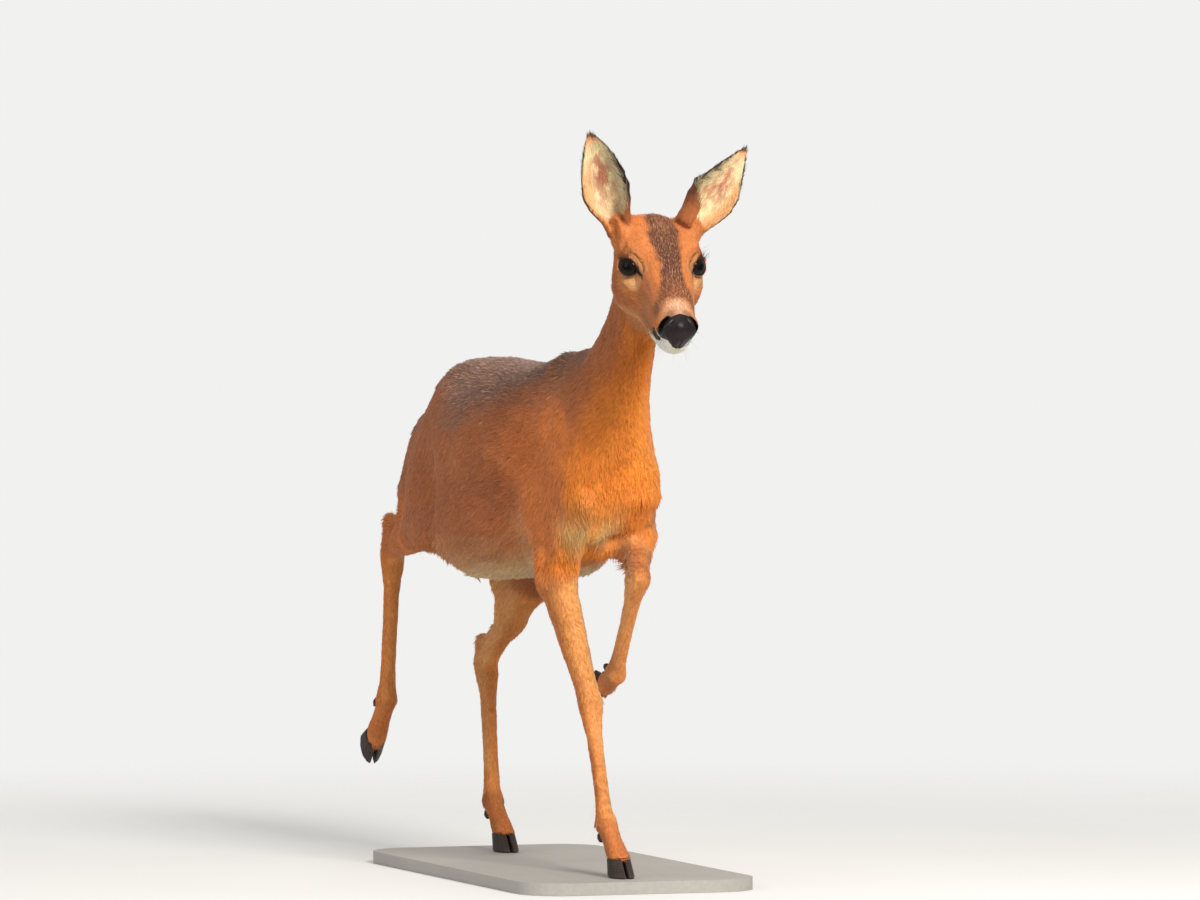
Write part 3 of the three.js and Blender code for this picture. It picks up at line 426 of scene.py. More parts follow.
def face_relief(points, normals):
    """Moves the skin's points where the face has folds."""
    at = to_head(points)
    near = at[:, 2] > -60
    at = at[near]
    n = normals[near] @ HEAD_TURN
    x, y, z = at.T
    out = np.zeros(len(at))
    d, along = both_sides(MOUTH, at)
    out -= 1.5 * bump(d, 0, 1.2) * ramp(along, 1.0, 0.75)
    out += 0.7 * bump(d, 3.6, 2.2) * ramp(along, 1.0, 0.6)
    out -= 1.3 * tear_wedge(at) + 1.2 * crease(at)
    out += 2.0 * bump(np.abs(x), 24, 9) * bump(y, 30, 9) * bump(z, -30, 14)
    pad = pad_margin(at)
    out += 0.8 * ramp(pad, -0.5, 2.5)
    out += 1.6 * bump(x, MUZZLE_MIDDLE, 8.5) * bump(y, -24, 8) * ramp(pad, 0, 4)
    groove = bump(x, MUZZLE_MIDDLE, 1.3) * ramp(y, -34, -42) * ramp(z, 100, 106) * ramp(y, -62, -57)
    out -= 1.1 * groove
    d, along = both_sides(NOSTRIL, at)
    wing = 2.3 + 1.5 * np.sin(np.pi * along)
    move = n * out[:, None]
    sink = 7.5 * ramp(wing - d, -0.6, 2.6) * ramp(z, 96, 103)
    move[:, 2] -= sink
    move[:, 0] -= np.sign(x - MUZZLE_MIDDLE) * sink * 0.12
    moved = points.copy()
    moved[near] = from_head(at + move + n * (0.9 * bump(d, 5.6, 1.6) * ramp(z, 98, 104))[:, None])
    return moved


EYE_BALL = 16 * MM
EYE_SPOT = np.array([-39.3, -2.0, -8.0])
EYE_FACING = unit([-0.62, 0.26, 0.74])
TO_NOSE = np.array([0.72, -0.18, 0.63])
EYE_AHEAD = unit(TO_NOSE - EYE_FACING * (TO_NOSE @ EYE_FACING))
EYE_UP = np.cross(EYE_AHEAD, EYE_FACING)
EYE_UP = EYE_UP * np.sign(EYE_UP[1])
FLIP = {"right": np.array([1, 1, 1]), "left": np.array([-1, 1, 1])}


def by_eye(at):
    """Places from the middle of the nearer eye, both eyes measured as the right one."""
    return at * np.where(at[:, :1] > 0, [-1, 1, 1], [1, 1, 1]) - EYE_SPOT


def outward(spin):
    """Directions square to the way the eye faces, 0 towards the nose and a right angle up."""
    return np.cos(spin)[:, None] * EYE_AHEAD + np.sin(spin)[:, None] * EYE_UP


def eye_way(angle, spin):
    """Directions at an angle from the way the eye faces, turned by spin round it."""
    return np.cos(angle)[:, None] * EYE_FACING + np.sin(angle)[:, None] * outward(spin)


def eye_polar(at):
    """The angle from the way the eye faces and the angle round it, both in degrees, and the distance."""
    rel = by_eye(at)
    distance = np.linalg.norm(rel, axis=1)
    around = np.degrees(np.arctan2(rel @ EYE_UP, rel @ EYE_AHEAD))
    return np.degrees(np.arccos(np.clip(rel @ EYE_FACING / distance, -1, 1))), around, distance


def tear_wedge(at):
    """The dark wedge that runs from the eye's front corner ahead and down, from 0 to 1."""
    rel = by_eye(at)
    along = (rel @ EYE_AHEAD - 11) / 21
    inner = np.clip(along, 0, 1)
    across = np.abs(rel @ EYE_UP - 2.0 + 3.8 * inner ** 2)
    wide = 4.0 - 3.0 * inner ** 0.8
    near = ramp(rel @ EYE_FACING, 2, 6) * (np.abs(at[:, 0]) > 20)
    return ramp(across, wide + 0.6, wide - 0.6) * ramp(along, -0.05, 0.05) * ramp(along, 1.05, 0.9) * near


def crease(at):
    """The fold over the upper lid, from 0 to 1. It rises over the ball and comes down ahead to the tear."""
    rel = by_eye(at)
    ahead, above = rel @ EYE_AHEAD, rel @ EYE_UP
    around = np.degrees(np.arctan2(above, ahead))
    line = np.hypot(ahead, above) - 19.3 - 6 * ramp(around, 62, 8)
    return bump(line, 0, 1.5) * ramp(around, 2, 14) * ramp(around, 125, 95) * ramp(rel @ EYE_FACING, 2, 6)


def lid_opening(around):
    """The opening between the lids, in degrees from the way the eye faces. It comes to a point ahead."""
    c, s = np.cos(np.radians(around)), np.sin(np.radians(around))
    long = np.where(c > 0, 51.0, 58.0)
    tall = np.where(s > 0, 38.5, 35.0)
    power = np.where(c > 0, 1.7, 2.0)
    return ((np.abs(c) / long) ** power + (np.abs(s) / tall) ** power) ** (-1 / power)


# The lids' rows: degrees out from their opening, and mm from the ball's middle.
LID_ROWS = np.array([
    (-7, 15), (0, 16.1), (1.2, 17.1), (3, 17.9), (6, 18.4), (9.5, 18.6), (13, 18.5), (16, 18.1), (19, 18.2),
    (22, 18.7), (25.5, 19), (29, 19), (33, 19), (37, 19), (42, 19)]).T
RAY_START, NO_HIT = 60, 18


def lids(side):
    """The two lids of an eye as one ring, from their margin on the ball to where they run into the skin."""
    turns, rows = 96, LID_ROWS.shape[1]
    around = np.repeat(np.arange(turns) * 360 / turns, rows)
    row = np.tile(np.arange(rows), turns)
    upper = ramp(np.sin(np.radians(around)), -0.2, 0.7)
    out, height = LID_ROWS[:, row]
    fold = bump(out, 17, 3.5) * upper
    way = eye_way(np.radians(lid_opening(around) + out), np.radians(around))
    centre = from_head(EYE_SPOT * FLIP[side])
    way = (way * FLIP[side]) @ HEAD_TURN.T
    reach = np.empty(len(way))
    for k, w in enumerate(way):
        hit = skin_tree.ray_cast(Vector(centre + w * RAY_START * MM), Vector(-w))[3]
        reach[k] = RAY_START - hit / MM if hit else NO_HIT
    reach = np.minimum(reach.reshape(turns, rows), 30)
    settled = np.minimum(reach, np.roll(reach, 1, 0) + 2)
    for _ in range(3):
        settled = (settled + np.roll(settled, 1, 0) + np.roll(settled, -1, 0)) / 3
    share = ramp(out, 5, 24)
    far = settled.ravel() - 0.2 - 1.6 * ramp(out, 27, 42)
    away = (1 - share) * height + share * far - 0.9 * fold
    co = centre + way * away[:, None] * MM
    k = np.arange(turns * rows).reshape(turns, rows)
    a, b = k, np.roll(k, -1, 0)
    faces = np.stack([a[:, :-1], a[:, 1:], b[:, 1:], b[:, :-1]], -1).reshape(-1, 4)
    return co, halved(faces[:, ::-1] if side == "right" else faces)


owner = nearest_nodes(skin)
unfolded = to_head(skin)
skin = face_relief(skin, normals_of(skin, tris))
skin_tree = BVHTree.FromPolygons(skin.tolist(), tris.tolist())
lid_start = len(skin)
for side in SIDES:
    ring, ring_faces = lids(side)
    tris = np.concatenate([tris, ring_faces + len(skin)])
    skin = np.concatenate([skin, ring])
owner = np.concatenate([owner, np.full(len(skin) - lid_start, FLESH.index("head"))])
unfolded = np.concatenate([unfolded, to_head(skin[lid_start:])])
edges = edges_of(tris)
count = len(skin)
part_index = np.array([part_of(node) for node in FLESH])[owner]
share = spread(np.eye(len(PARTS))[part_index], edges, 10)
part = {name: share[:, k] for k, name in enumerate(PARTS)}

# ---- where the hair is long, and how it lies

depth, length, width, rise, density = (share @ np.array(list(COAT.values()))).T
trunk, neck, thigh, shank, forearm = (part[name] for name in ("trunk", "neck", "thigh", "shank", "forearm"))
normal = normals_of(skin, tris)
# Places in mm: x, y and z from the ground under the animal, and hx, hy and hz in the head's frame.
x, y, z = ((skin - ORIGIN) / MM).T
at_head = to_head(skin)
hx, hy, hz = at_head.T
eye_angle, eye_around, eye_distance = eye_polar(at_head)
beyond_lid = np.where(eye_distance < 40, eye_angle - lid_opening(eye_around), 90)
nostril = both_sides(NOSTRIL, unfolded)[0]
mouth, mouth_along = both_sides(MOUTH, at_head)
pad = pad_margin(unfolded)
# The black patch at the mouth's corner, 1 at its border.
corner = np.sqrt(((np.abs(hx - 0.5) - 24) / 10) ** 2 + ((hy + 47) / 7.5) ** 2 + ((hz - 95) / 14) ** 2)
on_face = part["head"] + part["nose"]

crown = part["head"] * ramp(hz, -20, -70)
cheek = part["head"] * ramp(hy, -10, -40) * ramp(hz, 20, -30)
muzzle = on_face * ramp(hz, 45, 90)
brow = bump(beyond_lid, 12, 12)
depth += 1.4 * crown + 1.2 * cheek - 0.7 * muzzle
length += 5.0 * crown + 4.0 * cheek - 2.8 * muzzle - 2.4 * brow
width += 0.35 * crown + 0.3 * cheek - 0.22 * muzzle - 0.15 * brow
rise += 1.3 * crown + 0.9 * cheek - 0.6 * muzzle - 0.6 * brow
density += 0.5 * muzzle - 0.35 * crown - 0.3 * cheek
under = ramp(-normal[:, 2], 0.1, 0.75) * trunk
flank_fold = trunk * bump(y, 200, 90) * ramp(z, 470, 400)
behind = ramp(normal[:, 1], 0.35, 0.85) * (trunk + 0.6 * thigh) * ramp(y, 300, 370)
length += 8 * under + 8 * flank_fold + 9 * behind
rise += 2.2 * under + 2.4 * flank_fold + 3.0 * behind
depth += 1.5 * under + 1.5 * flank_fold + 2.0 * behind
length -= 3 * neck * ramp(hz, -90, -50)

# The ears: how far up each a point is, how far across from -1 to 1 (1 towards the other ear), and if it is on
# the inner face. The rows give the rolled leaf's radius and the half angle it goes round.
EAR_ROWS = np.array([
    (-0.06, 16, 128), (0.1, 19.5, 120), (0.24, 27, 98), (0.38, 33.5, 75), (0.54, 36.5, 56), (0.7, 37.5, 41),
    (0.84, 36, 28), (0.94, 35, 16), (1, 33, 6)]).T
EARS = {
    "right": {"root": from_head([-47, 26, -62]), "reach": np.array([-34, 22, 119]),
              "facing": unit([-0.5, -0.85, 0]), "turn": 0, "wide": (1, 1), "slim": 1, "inward": 1},
    "left": {"root": from_head([40, 26, -62]), "reach": np.array([92, 27, 101]),
             "facing": unit([0.1, -0.95, 0.2]), "turn": 42, "wide": (1.25, 0.85), "slim": 0.7, "inward": -1},
}
ear_up, ear_across, ear_inner = np.zeros((3, count))
ear_flow = np.zeros((count, 3))
for name, ear in EARS.items():
    mine = owner == FLESH.index(f"ear_{name}")
    # Head skin near an ear's root is measured with that ear.
    mine |= (np.linalg.norm(skin - ear["root"], axis=1) < 60 * MM) & (part["ear"] > 0.02)
    reach = ear["reach"]
    up = unit(reach)
    opening = unit(ear["facing"] - up * (ear["facing"] @ up))
    across = np.cross(up, opening)
    rel = (skin[mine] - ear["root"]) / MM
    t = rel @ reach / (reach @ reach)
    blade = ramp(t, 0.05, 0.54)
    twist = np.radians(ear["turn"] * (1 - blade))[:, None]
    radius = np.interp(t, EAR_ROWS[0], EAR_ROWS[1]) * (ear["wide"][0] + (ear["wide"][1] - ear["wide"][0]) * t)
    middle = opening * (radius - 13 + 6 * t)[:, None]
    out = rel - t[:, None] * reach - middle
    facing = np.cos(twist) * opening + np.sin(twist) * across
    sideways = np.cos(twist) * across - np.sin(twist) * opening
    angle = ear["inward"] * np.degrees(np.arctan2(np.sum(out * sideways, 1), -np.sum(out * facing, 1)))
    slim = np.where(angle > 0, 1 + (ear["slim"] - 1) * blade, 1)
    ear_up[mine] = t
    half_angle = np.maximum(np.interp(t, EAR_ROWS[0], EAR_ROWS[2]), 16) * slim
    ear_across[mine] = np.clip(angle / half_angle, -1.2, 1.2)
    ear_inner[mine] = ramp(-np.sum(normal[mine] * unit(out), 1), -0.1, 0.3)
    sweep = ear["inward"] * ear_across[mine] * ear_inner[mine] * 0.7
    ear_flow[mine] = unit(up - sideways * sweep[:, None])
inner_ear = part["ear"] * ear_inner * ramp(ear_up, 0.02, 0.14)
margin = ramp(ear_across, 0.1, 0.85)
length += inner_ear * (4 + 9 * margin * ramp(ear_up, 0.9, 0.5))
rise += inner_ear * (0.6 + 2.2 * margin * ramp(ear_up, 0.95, 0.5))
width -= inner_ear * 0.15
density -= inner_ear * 0.15

# Bare skin: the nose pad and beside it, the nostrils, the mouth's corners, the lids and the tear's line.
pad_side = ramp(pad, -7.0, -5.5) * ramp(unfolded[:, 1], -45.5, -43.5) * ramp(unfolded[:, 1], -24, -27)
bare = np.maximum.reduce([
    pad_side, ramp(pad, -0.6, 0.6), ramp(nostril, 5.0, 3.8) * ramp(unfolded[:, 2], 94, 99),
    ramp(corner, 1.05, 0.9), ramp(beyond_lid, 5.0, 2.5) * (eye_distance < 23) * (on_face > 0.3),
    tear_wedge(at_head) * (on_face > 0.3)])
density = np.clip(density, 0.2, 2.2) * (1 - bare) * (1 - 0.9 * bump(mouth, 0, 1.6) * (mouth_along < 0.8))
depth *= 1 - bare
depth[lid_start:] = 0.25
length, width, rise = np.clip(length, 2.0, 40), np.clip(width, 0.5, 3), np.clip(rise, 0.4, 12)

skin = skin - normal * (spread(depth, edges, 4) * MM)[:, None]
normal = normals_of(skin, tris)
x, y, z = ((skin - ORIGIN) / MM).T

# The lie of the hair.
ahead, up_head = HEAD_TURN[:, 2], HEAD_TURN[:, 1]
flow = np.zeros((count, 3))
away = unit(at_head - np.array([1, -30, 125])) @ HEAD_TURN.T
face_flow = -ahead + away * ramp(hz, 60, 100)[:, None] * 0.8
face_flow = face_flow - up_head * (0.55 * ramp(hy, 5, -30))[:, None]
round_eye = (at_head - EYE_SPOT * np.where(hx[:, None] > 0, [-1, 1, 1], [1, 1, 1])) @ HEAD_TURN.T
face_flow = face_flow + unit(round_eye) * (0.9 * bump(beyond_lid, 6, 14))[:, None]
flow += face_flow * on_face[:, None]
flow += (-neck_line + np.array([0, 0.25, 0])) * neck[:, None]
chest = ramp(y, -120, -200)
lying = np.stack([np.zeros(count), 1 - 0.85 * chest, -0.28 - 0.75 * chest], 1)
lying[:, 2] -= 0.9 * ramp(y, -60, -160) * ramp(z, 560, 480)
lying[:, 2] -= 1.2 * ramp(y, 330, 385)
lying[:, 2] -= 0.4 * ramp(np.abs(normal[:, 0]), 0.3, 0.9) * ramp(y, -60, 120)
flow += lying * trunk[:, None]
flow += np.array([0, 0.4, -0.9]) * part["tail"][:, None]
flow += np.array([0, 0.5, -0.9]) * thigh[:, None]
flow += ear_flow * (part["ear"] * 1.6)[:, None]
for index, node in enumerate(FLESH):
    name = PARTS[part_of(node)]
    if node in LIMBS and name != "thigh":
        flow[owner == index] += longest_axis(node) * part[name][owner == index][:, None]
ruffle = np.stack([noise(skin, 45 * MM, k + 3) for k in range(3)], 1) - 0.5
flow = spread(unit(flow) + 0.35 * ruffle * (trunk + thigh + neck)[:, None], edges, 14)
flow = unit(flow - normal * np.sum(flow * normal, axis=1)[:, None])

# ---- markings

def tint(red, green, blue):
    """A colour as a monitor shows it (0 to 255), in linear light."""
    c = np.array([red, green, blue]) / 255
    return np.where(c <= 0.04045, c / 12.92, ((c + 0.055) / 1.055) ** 2.4)


def layered(base, *layers):
    """A base colour under layers of other colours, each with its share at each point. Some layers are the
    animal's own markings, some are painted light and shade.
    """
    base = tint(*base) if isinstance(base, tuple) else base
    for colour, share in layers:
        share = np.clip(share, 0, 1)[:, None]
        base = base * (1 - share) + (tint(*colour) if isinstance(colour, tuple) else colour) * share
    return base


nx, ny, nz = normal.T
blotch = noise(skin, 60 * MM, 5) - 0.5
fine_blotch = noise(skin, 9 * MM, 6) - 0.5
# Forward-facing chest and neck, where a brighter orange is painted as light falling from the front.
front = ramp(-ny + 0.25 * blotch, 0.05, 0.7) * ramp(y, 40, -110)
shoulder = ramp(y + 60 * blotch, -20, -110) * ramp(nz, 0.55, 0.0)
breast = np.maximum(bump(x, -45, 22), bump(x, 0, 20)) * bump(z, 450, 30) * ramp(y, -170, -205)
legs = forearm + part["fore_cannon"] + shank + part["hind_cannon"]
rump = np.sqrt((x / 62) ** 2 + ((z - 560) / 75) ** 2)
body = layered(
    (188, 112, 68),
    # Upward-facing coat greyer: partly the back's own grizzled grey, partly a painted sky reflection.
    ((136, 100, 84), ramp(nz + 0.5 * blotch, 0.15, 0.8) * (trunk + thigh + 0.8 * neck)),
    ((206, 146, 100), ramp(-nz + 0.4 * blotch, 0.05, 0.6) * trunk),
    ((232, 190, 142), ramp(-nz, 0.5, 0.9) * trunk),
    ((236, 132, 60), 0.65 * shoulder * trunk),
    # Painted light: the forward-facing chest and neck in brighter orange.
    ((251, 142, 50), front * (trunk + 0.95 * neck)),
    # Painted shade: the rear-facing side of the neck darker.
    ((168, 98, 58), ramp(ny, 0.1, 0.7) * neck),
    ((255, 198, 130), 0.85 * breast * (trunk + forearm)),
    ((224, 134, 72), forearm),
    ((228, 134, 68), part["fore_cannon"] + part["hind_cannon"] + 0.6 * shank),
    ((224, 136, 74), part["fore_pastern"] + part["hind_pastern"]),
    # Painted light: the forward-facing sides of the legs lighter, as if lit from the front.
    ((248, 166, 92), (0.85 * forearm + 0.6 * (legs - forearm)) * ramp(-ny, 0.1, 0.8)),
    ((240, 178, 114), 0.6 * legs * ramp(np.sign(x) * -nx, 0.2, 0.8)),
    ((140, 88, 58), 0.5 * (shank + part["hind_cannon"]) * ramp(ny, 0.5, 1.0)),
    ((236, 206, 164), ramp(rump, 1.15, 0.7) * ramp(ny, 0.2, 0.7) * ramp(y, 330, 370)),
    ((234, 202, 158), part["tail"]))

# The half width of the dark stripe down the face, at some places along the head.
side, off_middle = np.abs(hx), np.abs(hx - MUZZLE_MIDDLE)
STRIPE = np.array([(-90, 11), (-77, 13.5), (-50, 18), (-30, 20.5), (-7, 18.5), (12, 14.5), (36, 13.2),
                   (56, 16), (68, 23), (84, 25)]).T
ragged = 6 * fine_blotch + 5 * (noise(skin, 22 * MM, 15) - 0.5)
stripe = ramp(np.interp(hz, *STRIPE) + ragged - np.abs(hx - (2 + 1.5 * ramp(hz, -20, -80))), -4.5, 4.5)
stripe *= ramp(hz, 95, 78) * ramp(hy, -26, -13) * ramp(hz, -98, -84)
snout = bump(hx, MUZZLE_MIDDLE, 20) * ramp(hz, 80, 94) * ramp(hy, -22, -14)
face = layered(
    (222, 134, 70),
    ((196, 114, 64), ramp(hy, -8, -34) * ramp(hz, 30, -20)),
    ((244, 172, 108), 0.7 * bump(beyond_lid, 9, 10) * ramp(np.abs(eye_around), 150, 100)),
    ((250, 192, 130), 0.95 * bump(hy, -15.5, 7.5) * bump(hz, 10, 17) * ramp(side, 21, 30)),
    ((214, 134, 84), bump(hz, 55, 25) * ramp(side, 18, 30)),
    ((150, 96, 62), 0.4 * bump(side, 30, 12) * ramp(hy, -38, -48) * ramp(hz, 20, 50)),
    ((90, 50, 36), (0.96 - 0.16 * ramp(hz, 40, 75)) * stripe),
    ((150, 98, 68), 0.5 * stripe * bump(hz, -50, 26) * bump(hx, 2, 9)),
    ((234, 182, 146), 0.9 * snout),
    ((116, 76, 58), 0.75 * bump(off_middle, 25, 7) * bump(hz, 88, 12) * ramp(hy, -30, -20)),
    ((122, 80, 60), 0.8 * bump(off_middle, 12, 9) * ramp(hz, 97, 105) * ramp(hy, -20, -13)),
    # The chin, the lips beside the nose pad, the jaw behind them and the mouth's line.
    ((254, 240, 206), ramp(hy, -52, -58) * ramp(hz, 58, 80)),
    ((254, 248, 234), ramp(hz, 92, 98) * ramp(hy, -38, -42) * ramp(off_middle, 4, 9)),
    ((216, 148, 92), ramp(hy, -50, -60) * ramp(hz, 62, 34)),
    ((34, 22, 18), ramp(mouth, 2.3, 1.1) * (mouth_along < 0.72)),
    # Painted shade: the fold over the upper lid darker.
    ((72, 38, 26), 0.85 * crease(at_head)),
    ((214, 118, 54), 0.7 * bump(side, 36, 14) * ramp(hz, -40, -62) * ramp(hy, 12, 28)))

patch = bump(ear_across, -0.12, 0.62) * bump(ear_up, 0.56, 0.34)
inner = layered(
    (254, 222, 172),
    ((182, 116, 84), patch * ramp(noise(skin, 5 * MM, 14) + 0.3 * patch, 0.48, 0.75)),
    ((240, 168, 100), 0.75 * ramp(ear_across, -0.5, -0.85) * ramp(ear_up, 0.75, 0.5)),
    ((232, 164, 110), ramp(ear_up, 0.84, 0.93)))
dark_rim = np.maximum.reduce([
    ramp(ear_across, 0.88, 0.97) * ramp(ear_up, 0.16, 0.34),
    ramp(-ear_across, 0.9, 0.98) * ramp(ear_up, 0.5, 0.72), ramp(ear_up + 0.03 * ear_across, 0.925, 0.96)])
ears = layered(
    (70, 44, 32),
    ((176, 100, 52), ramp(ear_up, 0.34, 0.05)),
    (inner, inner_ear / np.maximum(part["ear"], 0.01)),
    ((44, 28, 22), dark_rim),
    ((236, 156, 86), ramp(ear_up, 0.16, 0.02) * ear_inner))
colour = layered(body, (face, on_face), (ears, ramp(part["ear"], 0.25, 0.6)), ((17, 13, 13), bare))
colour *= 1 + 0.22 * blotch[:, None] + 0.12 * fine_blotch[:, None]

# How much single tufts differ from their neighbours, and the share of them that are pale.
grizzle = 0.13 + 0.34 * stripe * on_face + 0.2 * snout * on_face + 0.14 * part["ear"] * patch
grizzle += 0.12 * ramp(nz, 0.3, 0.8) * trunk
hoary = 0.13 * stripe * on_face + 0.1 * ramp(nz, 0.2, 0.8) * trunk

# ---- an unwrap of the skin, one chart a node

# An ear's outer face lies this far beside its inner one. Some charts are larger, for finer streaks there.
EAR_FACE_GAP, FINE_CHART_SIZE, CHART_GAP = 130 * MM, 1.7, 12 * MM
# The way along each node's chart. A limb's runs down it.
CHART_AXES = {
    "trunk": np.array([0.0, 1, 0]), "tail": np.array([0.0, 0, -1]), "neck": neck_line,
    "head": ahead, "nose": ahead, "ear_right": unit(EARS["right"]["reach"]),
    "ear_left": unit(EARS["left"]["reach"]),
}


def chart_frame(node, members):
    """The middle and axes of a node's chart: the first two go round it and the last one along it."""
    along = CHART_AXES[node] if node in CHART_AXES else longest_axis(node)
    side = unit(np.cross(along, [0.3, 0.2, 0.93]))
    return skin[members].mean(0), side, np.cross(along, side), along


def charted(node, faces):
    """Corner places of a node's faces on its own flat chart, in metres."""
    centre, side, front, along = chart_frame(node, np.unique(faces))
    rel = skin[faces] - centre
    u, v, w = rel @ side, rel @ front, rel @ along
    if node.startswith("ear"):
        facing = EARS[node.removeprefix("ear_")]["facing"]
        inner_side = face_normal[owner_face == FLESH.index(node)] @ facing > 0
        across = u if abs(side @ facing) < abs(front @ facing) else v
        return np.stack([np.where(inner_side[:, None], across, across + EAR_FACE_GAP), w], -1)
    radius = np.hypot(u, v)
    middle = rel.mean(1)
    turn = np.arctan2(middle @ front, middle @ side)[:, None]
    angle = turn + (np.arctan2(v, u) - turn + np.pi) % (2 * np.pi) - np.pi
    wide = np.percentile(radius, 85)
    w = w + np.sign(w) * np.maximum(wide - radius, 0) * (node in ("trunk", "head", "nose", "tail"))
    return np.stack([angle * np.median(radius), w], -1)


owner_face = owner[tris[:, 0]]
face_normal = np.cross(skin[tris[:, 1]] - skin[tris[:, 0]], skin[tris[:, 2]] - skin[tris[:, 0]])
uv = np.zeros((len(tris), 3, 2))
charts = []
for index, node in enumerate(FLESH):
    mine = np.flatnonzero(owner_face == index)
    flat = charted(node, tris[mine])
    if node.startswith(("head", "nose", "ear", "forearm")):
        flat *= FINE_CHART_SIZE
    flat -= flat.reshape(-1, 2).min(0)
    charts.append((mine, flat, flat.reshape(-1, 2).max(0)))


def packed(width):
    """Puts the charts in rows of that width, tallest first. Gives their corners and the height used."""
    corner, x, top, row = {}, 0.0, 0.0, 0.0
    for k in sorted(range(len(charts)), key=lambda k: -charts[k][2][1]):
        size = charts[k][2] + CHART_GAP
        if x + size[0] > width:
            x, top, row = 0.0, top + row, 0.0
        corner[k] = np.array([x, top])
        x, row = x + size[0], max(row, size[1])
    return corner, top + row


atlas = min((w for w in np.arange(0.8, 3, 0.05) if w > max(c[2][0] + CHART_GAP for c in charts)),
            key=lambda w: max(w, packed(w)[1]))
corner, atlas_height = packed(atlas)
atlas = max(atlas, atlas_height)
for k, (mine, flat, _) in enumerate(charts):
    uv[mine] = (flat + corner[k] + CHART_GAP / 2) / atlas

# ---- pieces

def add_colour(ob, values):
    """The colours, in linear light, that the materials read as the attribute named tint."""
    layer = ob.data.attributes.new("tint", "FLOAT_COLOR", "POINT")
    rgba = np.ones((len(values), 4), np.float32)
    rgba[:, :3] = np.clip(values, 0, 1)
    layer.data.foreach_set("color", rgba.ravel())


def add_value(ob, name, values):
    layer = ob.data.attributes.new(name, "FLOAT", "POINT")
    layer.data.foreach_set("value", np.ascontiguousarray(values, np.float32))


def add_uv(ob, corners):
    layer = ob.data.uv_layers.new(name="OFBake")
    layer.uv.foreach_set("vector", np.ascontiguousarray(corners, np.float32).ravel())


def finished(ob, material, slot, *nodes):
    ob.data.materials.append(material)
    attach(ob, "root")
    if nodes:
        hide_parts(*nodes)
    return ob


class Shader:
    """A material with one surface shader, and short ways to add nodes to it."""

    def __init__(self, name, **values):
        self.material = bpy.data.materials.new(name)
        self.material.use_nodes = True
        self.tree = self.material.node_tree
        self.surface = self.tree.nodes["Principled BSDF"]
        for key, value in values.items():
            self.surface.inputs[key.replace("_", " ")].default_value = value

    def add(self, kind, inputs=None, **settings):
        made = self.tree.nodes.new("ShaderNode" + kind)
        for key, value in settings.items():
            setattr(made, key, value)
        for key, value in (inputs or {}).items():
            if isinstance(value, bpy.types.NodeSocket):
                self.tree.links.new(value, made.inputs[key])
            else:
                made.inputs[key].default_value = value
        return made

    def set(self, name, socket):
        self.tree.links.new(socket, self.surface.inputs[name])

    def place(self):
        return self.add("TexCoord").outputs["Object"]

    def noise(self, place, scale, detail=3.0, stretch=(1, 1, 1)):
        moved = self.add("Mapping", {"Vector": place, "Scale": stretch})
        return self.add("TexNoise", {"Vector": moved.outputs[0], "Scale": scale,
                                     "Detail": detail}).outputs["Fac"]

    def scaled(self, value, low, high):
        return self.add("MapRange", {"Value": value, "From Min": 0.25, "From Max": 0.75,
                                     "To Min": low, "To Max": high}).outputs["Result"]

    def times(self, colour, value):
        return self.add("VectorMath", {0: colour, 1: value}, operation="MULTIPLY").outputs[0]

    def tinted(self, value, low, high):
        """The base colour is the piece's own tint, between low and high times as light."""
        tint = self.add("Attribute", attribute_name="tint").outputs["Color"]
        self.set("Base Color", self.times(tint, self.scaled(value, low, high)))

    def between(self, value, dark, light):
        """A colour from dark to light."""
        made = self.add("ValToRGB", {"Fac": value})
        for element, colour in zip(made.color_ramp.elements, (dark, light)):
            element.color = (*colour, 1)
        return made.outputs["Color"]

    def relief(self, height, distance, strength):
        made = self.add("Bump", {"Height": height, "Distance": distance, "Strength": strength})
        self.set("Normal", made.outputs[0])


def skin_material():
    """Short hair seen as streaks along the unwrap, and bare skin where the nose and lids are."""
    m = Shader("skin_under_coat", Specular_IOR_Level=0.35)
    bareness = m.add("Attribute", attribute_name="bare").outputs["Fac"]
    streaks = m.noise(m.add("UVMap", uv_map="OFBake").outputs[0], 1.0, 4.0, (900, 130, 1))
    grain = m.noise(m.place(), 700.0, 2.0)
    m.tinted(streaks, 0.74, 1.18)
    rough = m.add("MapRange", {"Value": bareness, "To Min": 0.68, "To Max": 0.34}).outputs["Result"]
    uneven = m.add("Math", {0: rough, 1: m.scaled(streaks, -0.05, 0.06)}, operation="ADD")
    m.set("Roughness", uneven.outputs[0])
    mixed = m.add("Mix", {"Factor": bareness, "A": streaks, "B": grain}, data_type="FLOAT").outputs[0]
    m.relief(mixed, 0.0012, 0.5)
    return m.material


def coat_material(name, rough, scale):
    """Hair in tufts: the tint of its place, lighter and darker hairs, and a silky surface."""
    m = Shader(name, Specular_IOR_Level=0.3, Sheen_Weight=0.12, Sheen_Roughness=0.5)
    place = m.place()
    hairs = m.noise(place, scale)
    m.tinted(hairs, 0.86, 1.12)
    m.set("Roughness", m.scaled(m.noise(place, scale * 0.3), rough - 0.07, rough + 0.08))
    m.relief(hairs, 0.0004, 0.4)
    return m.material


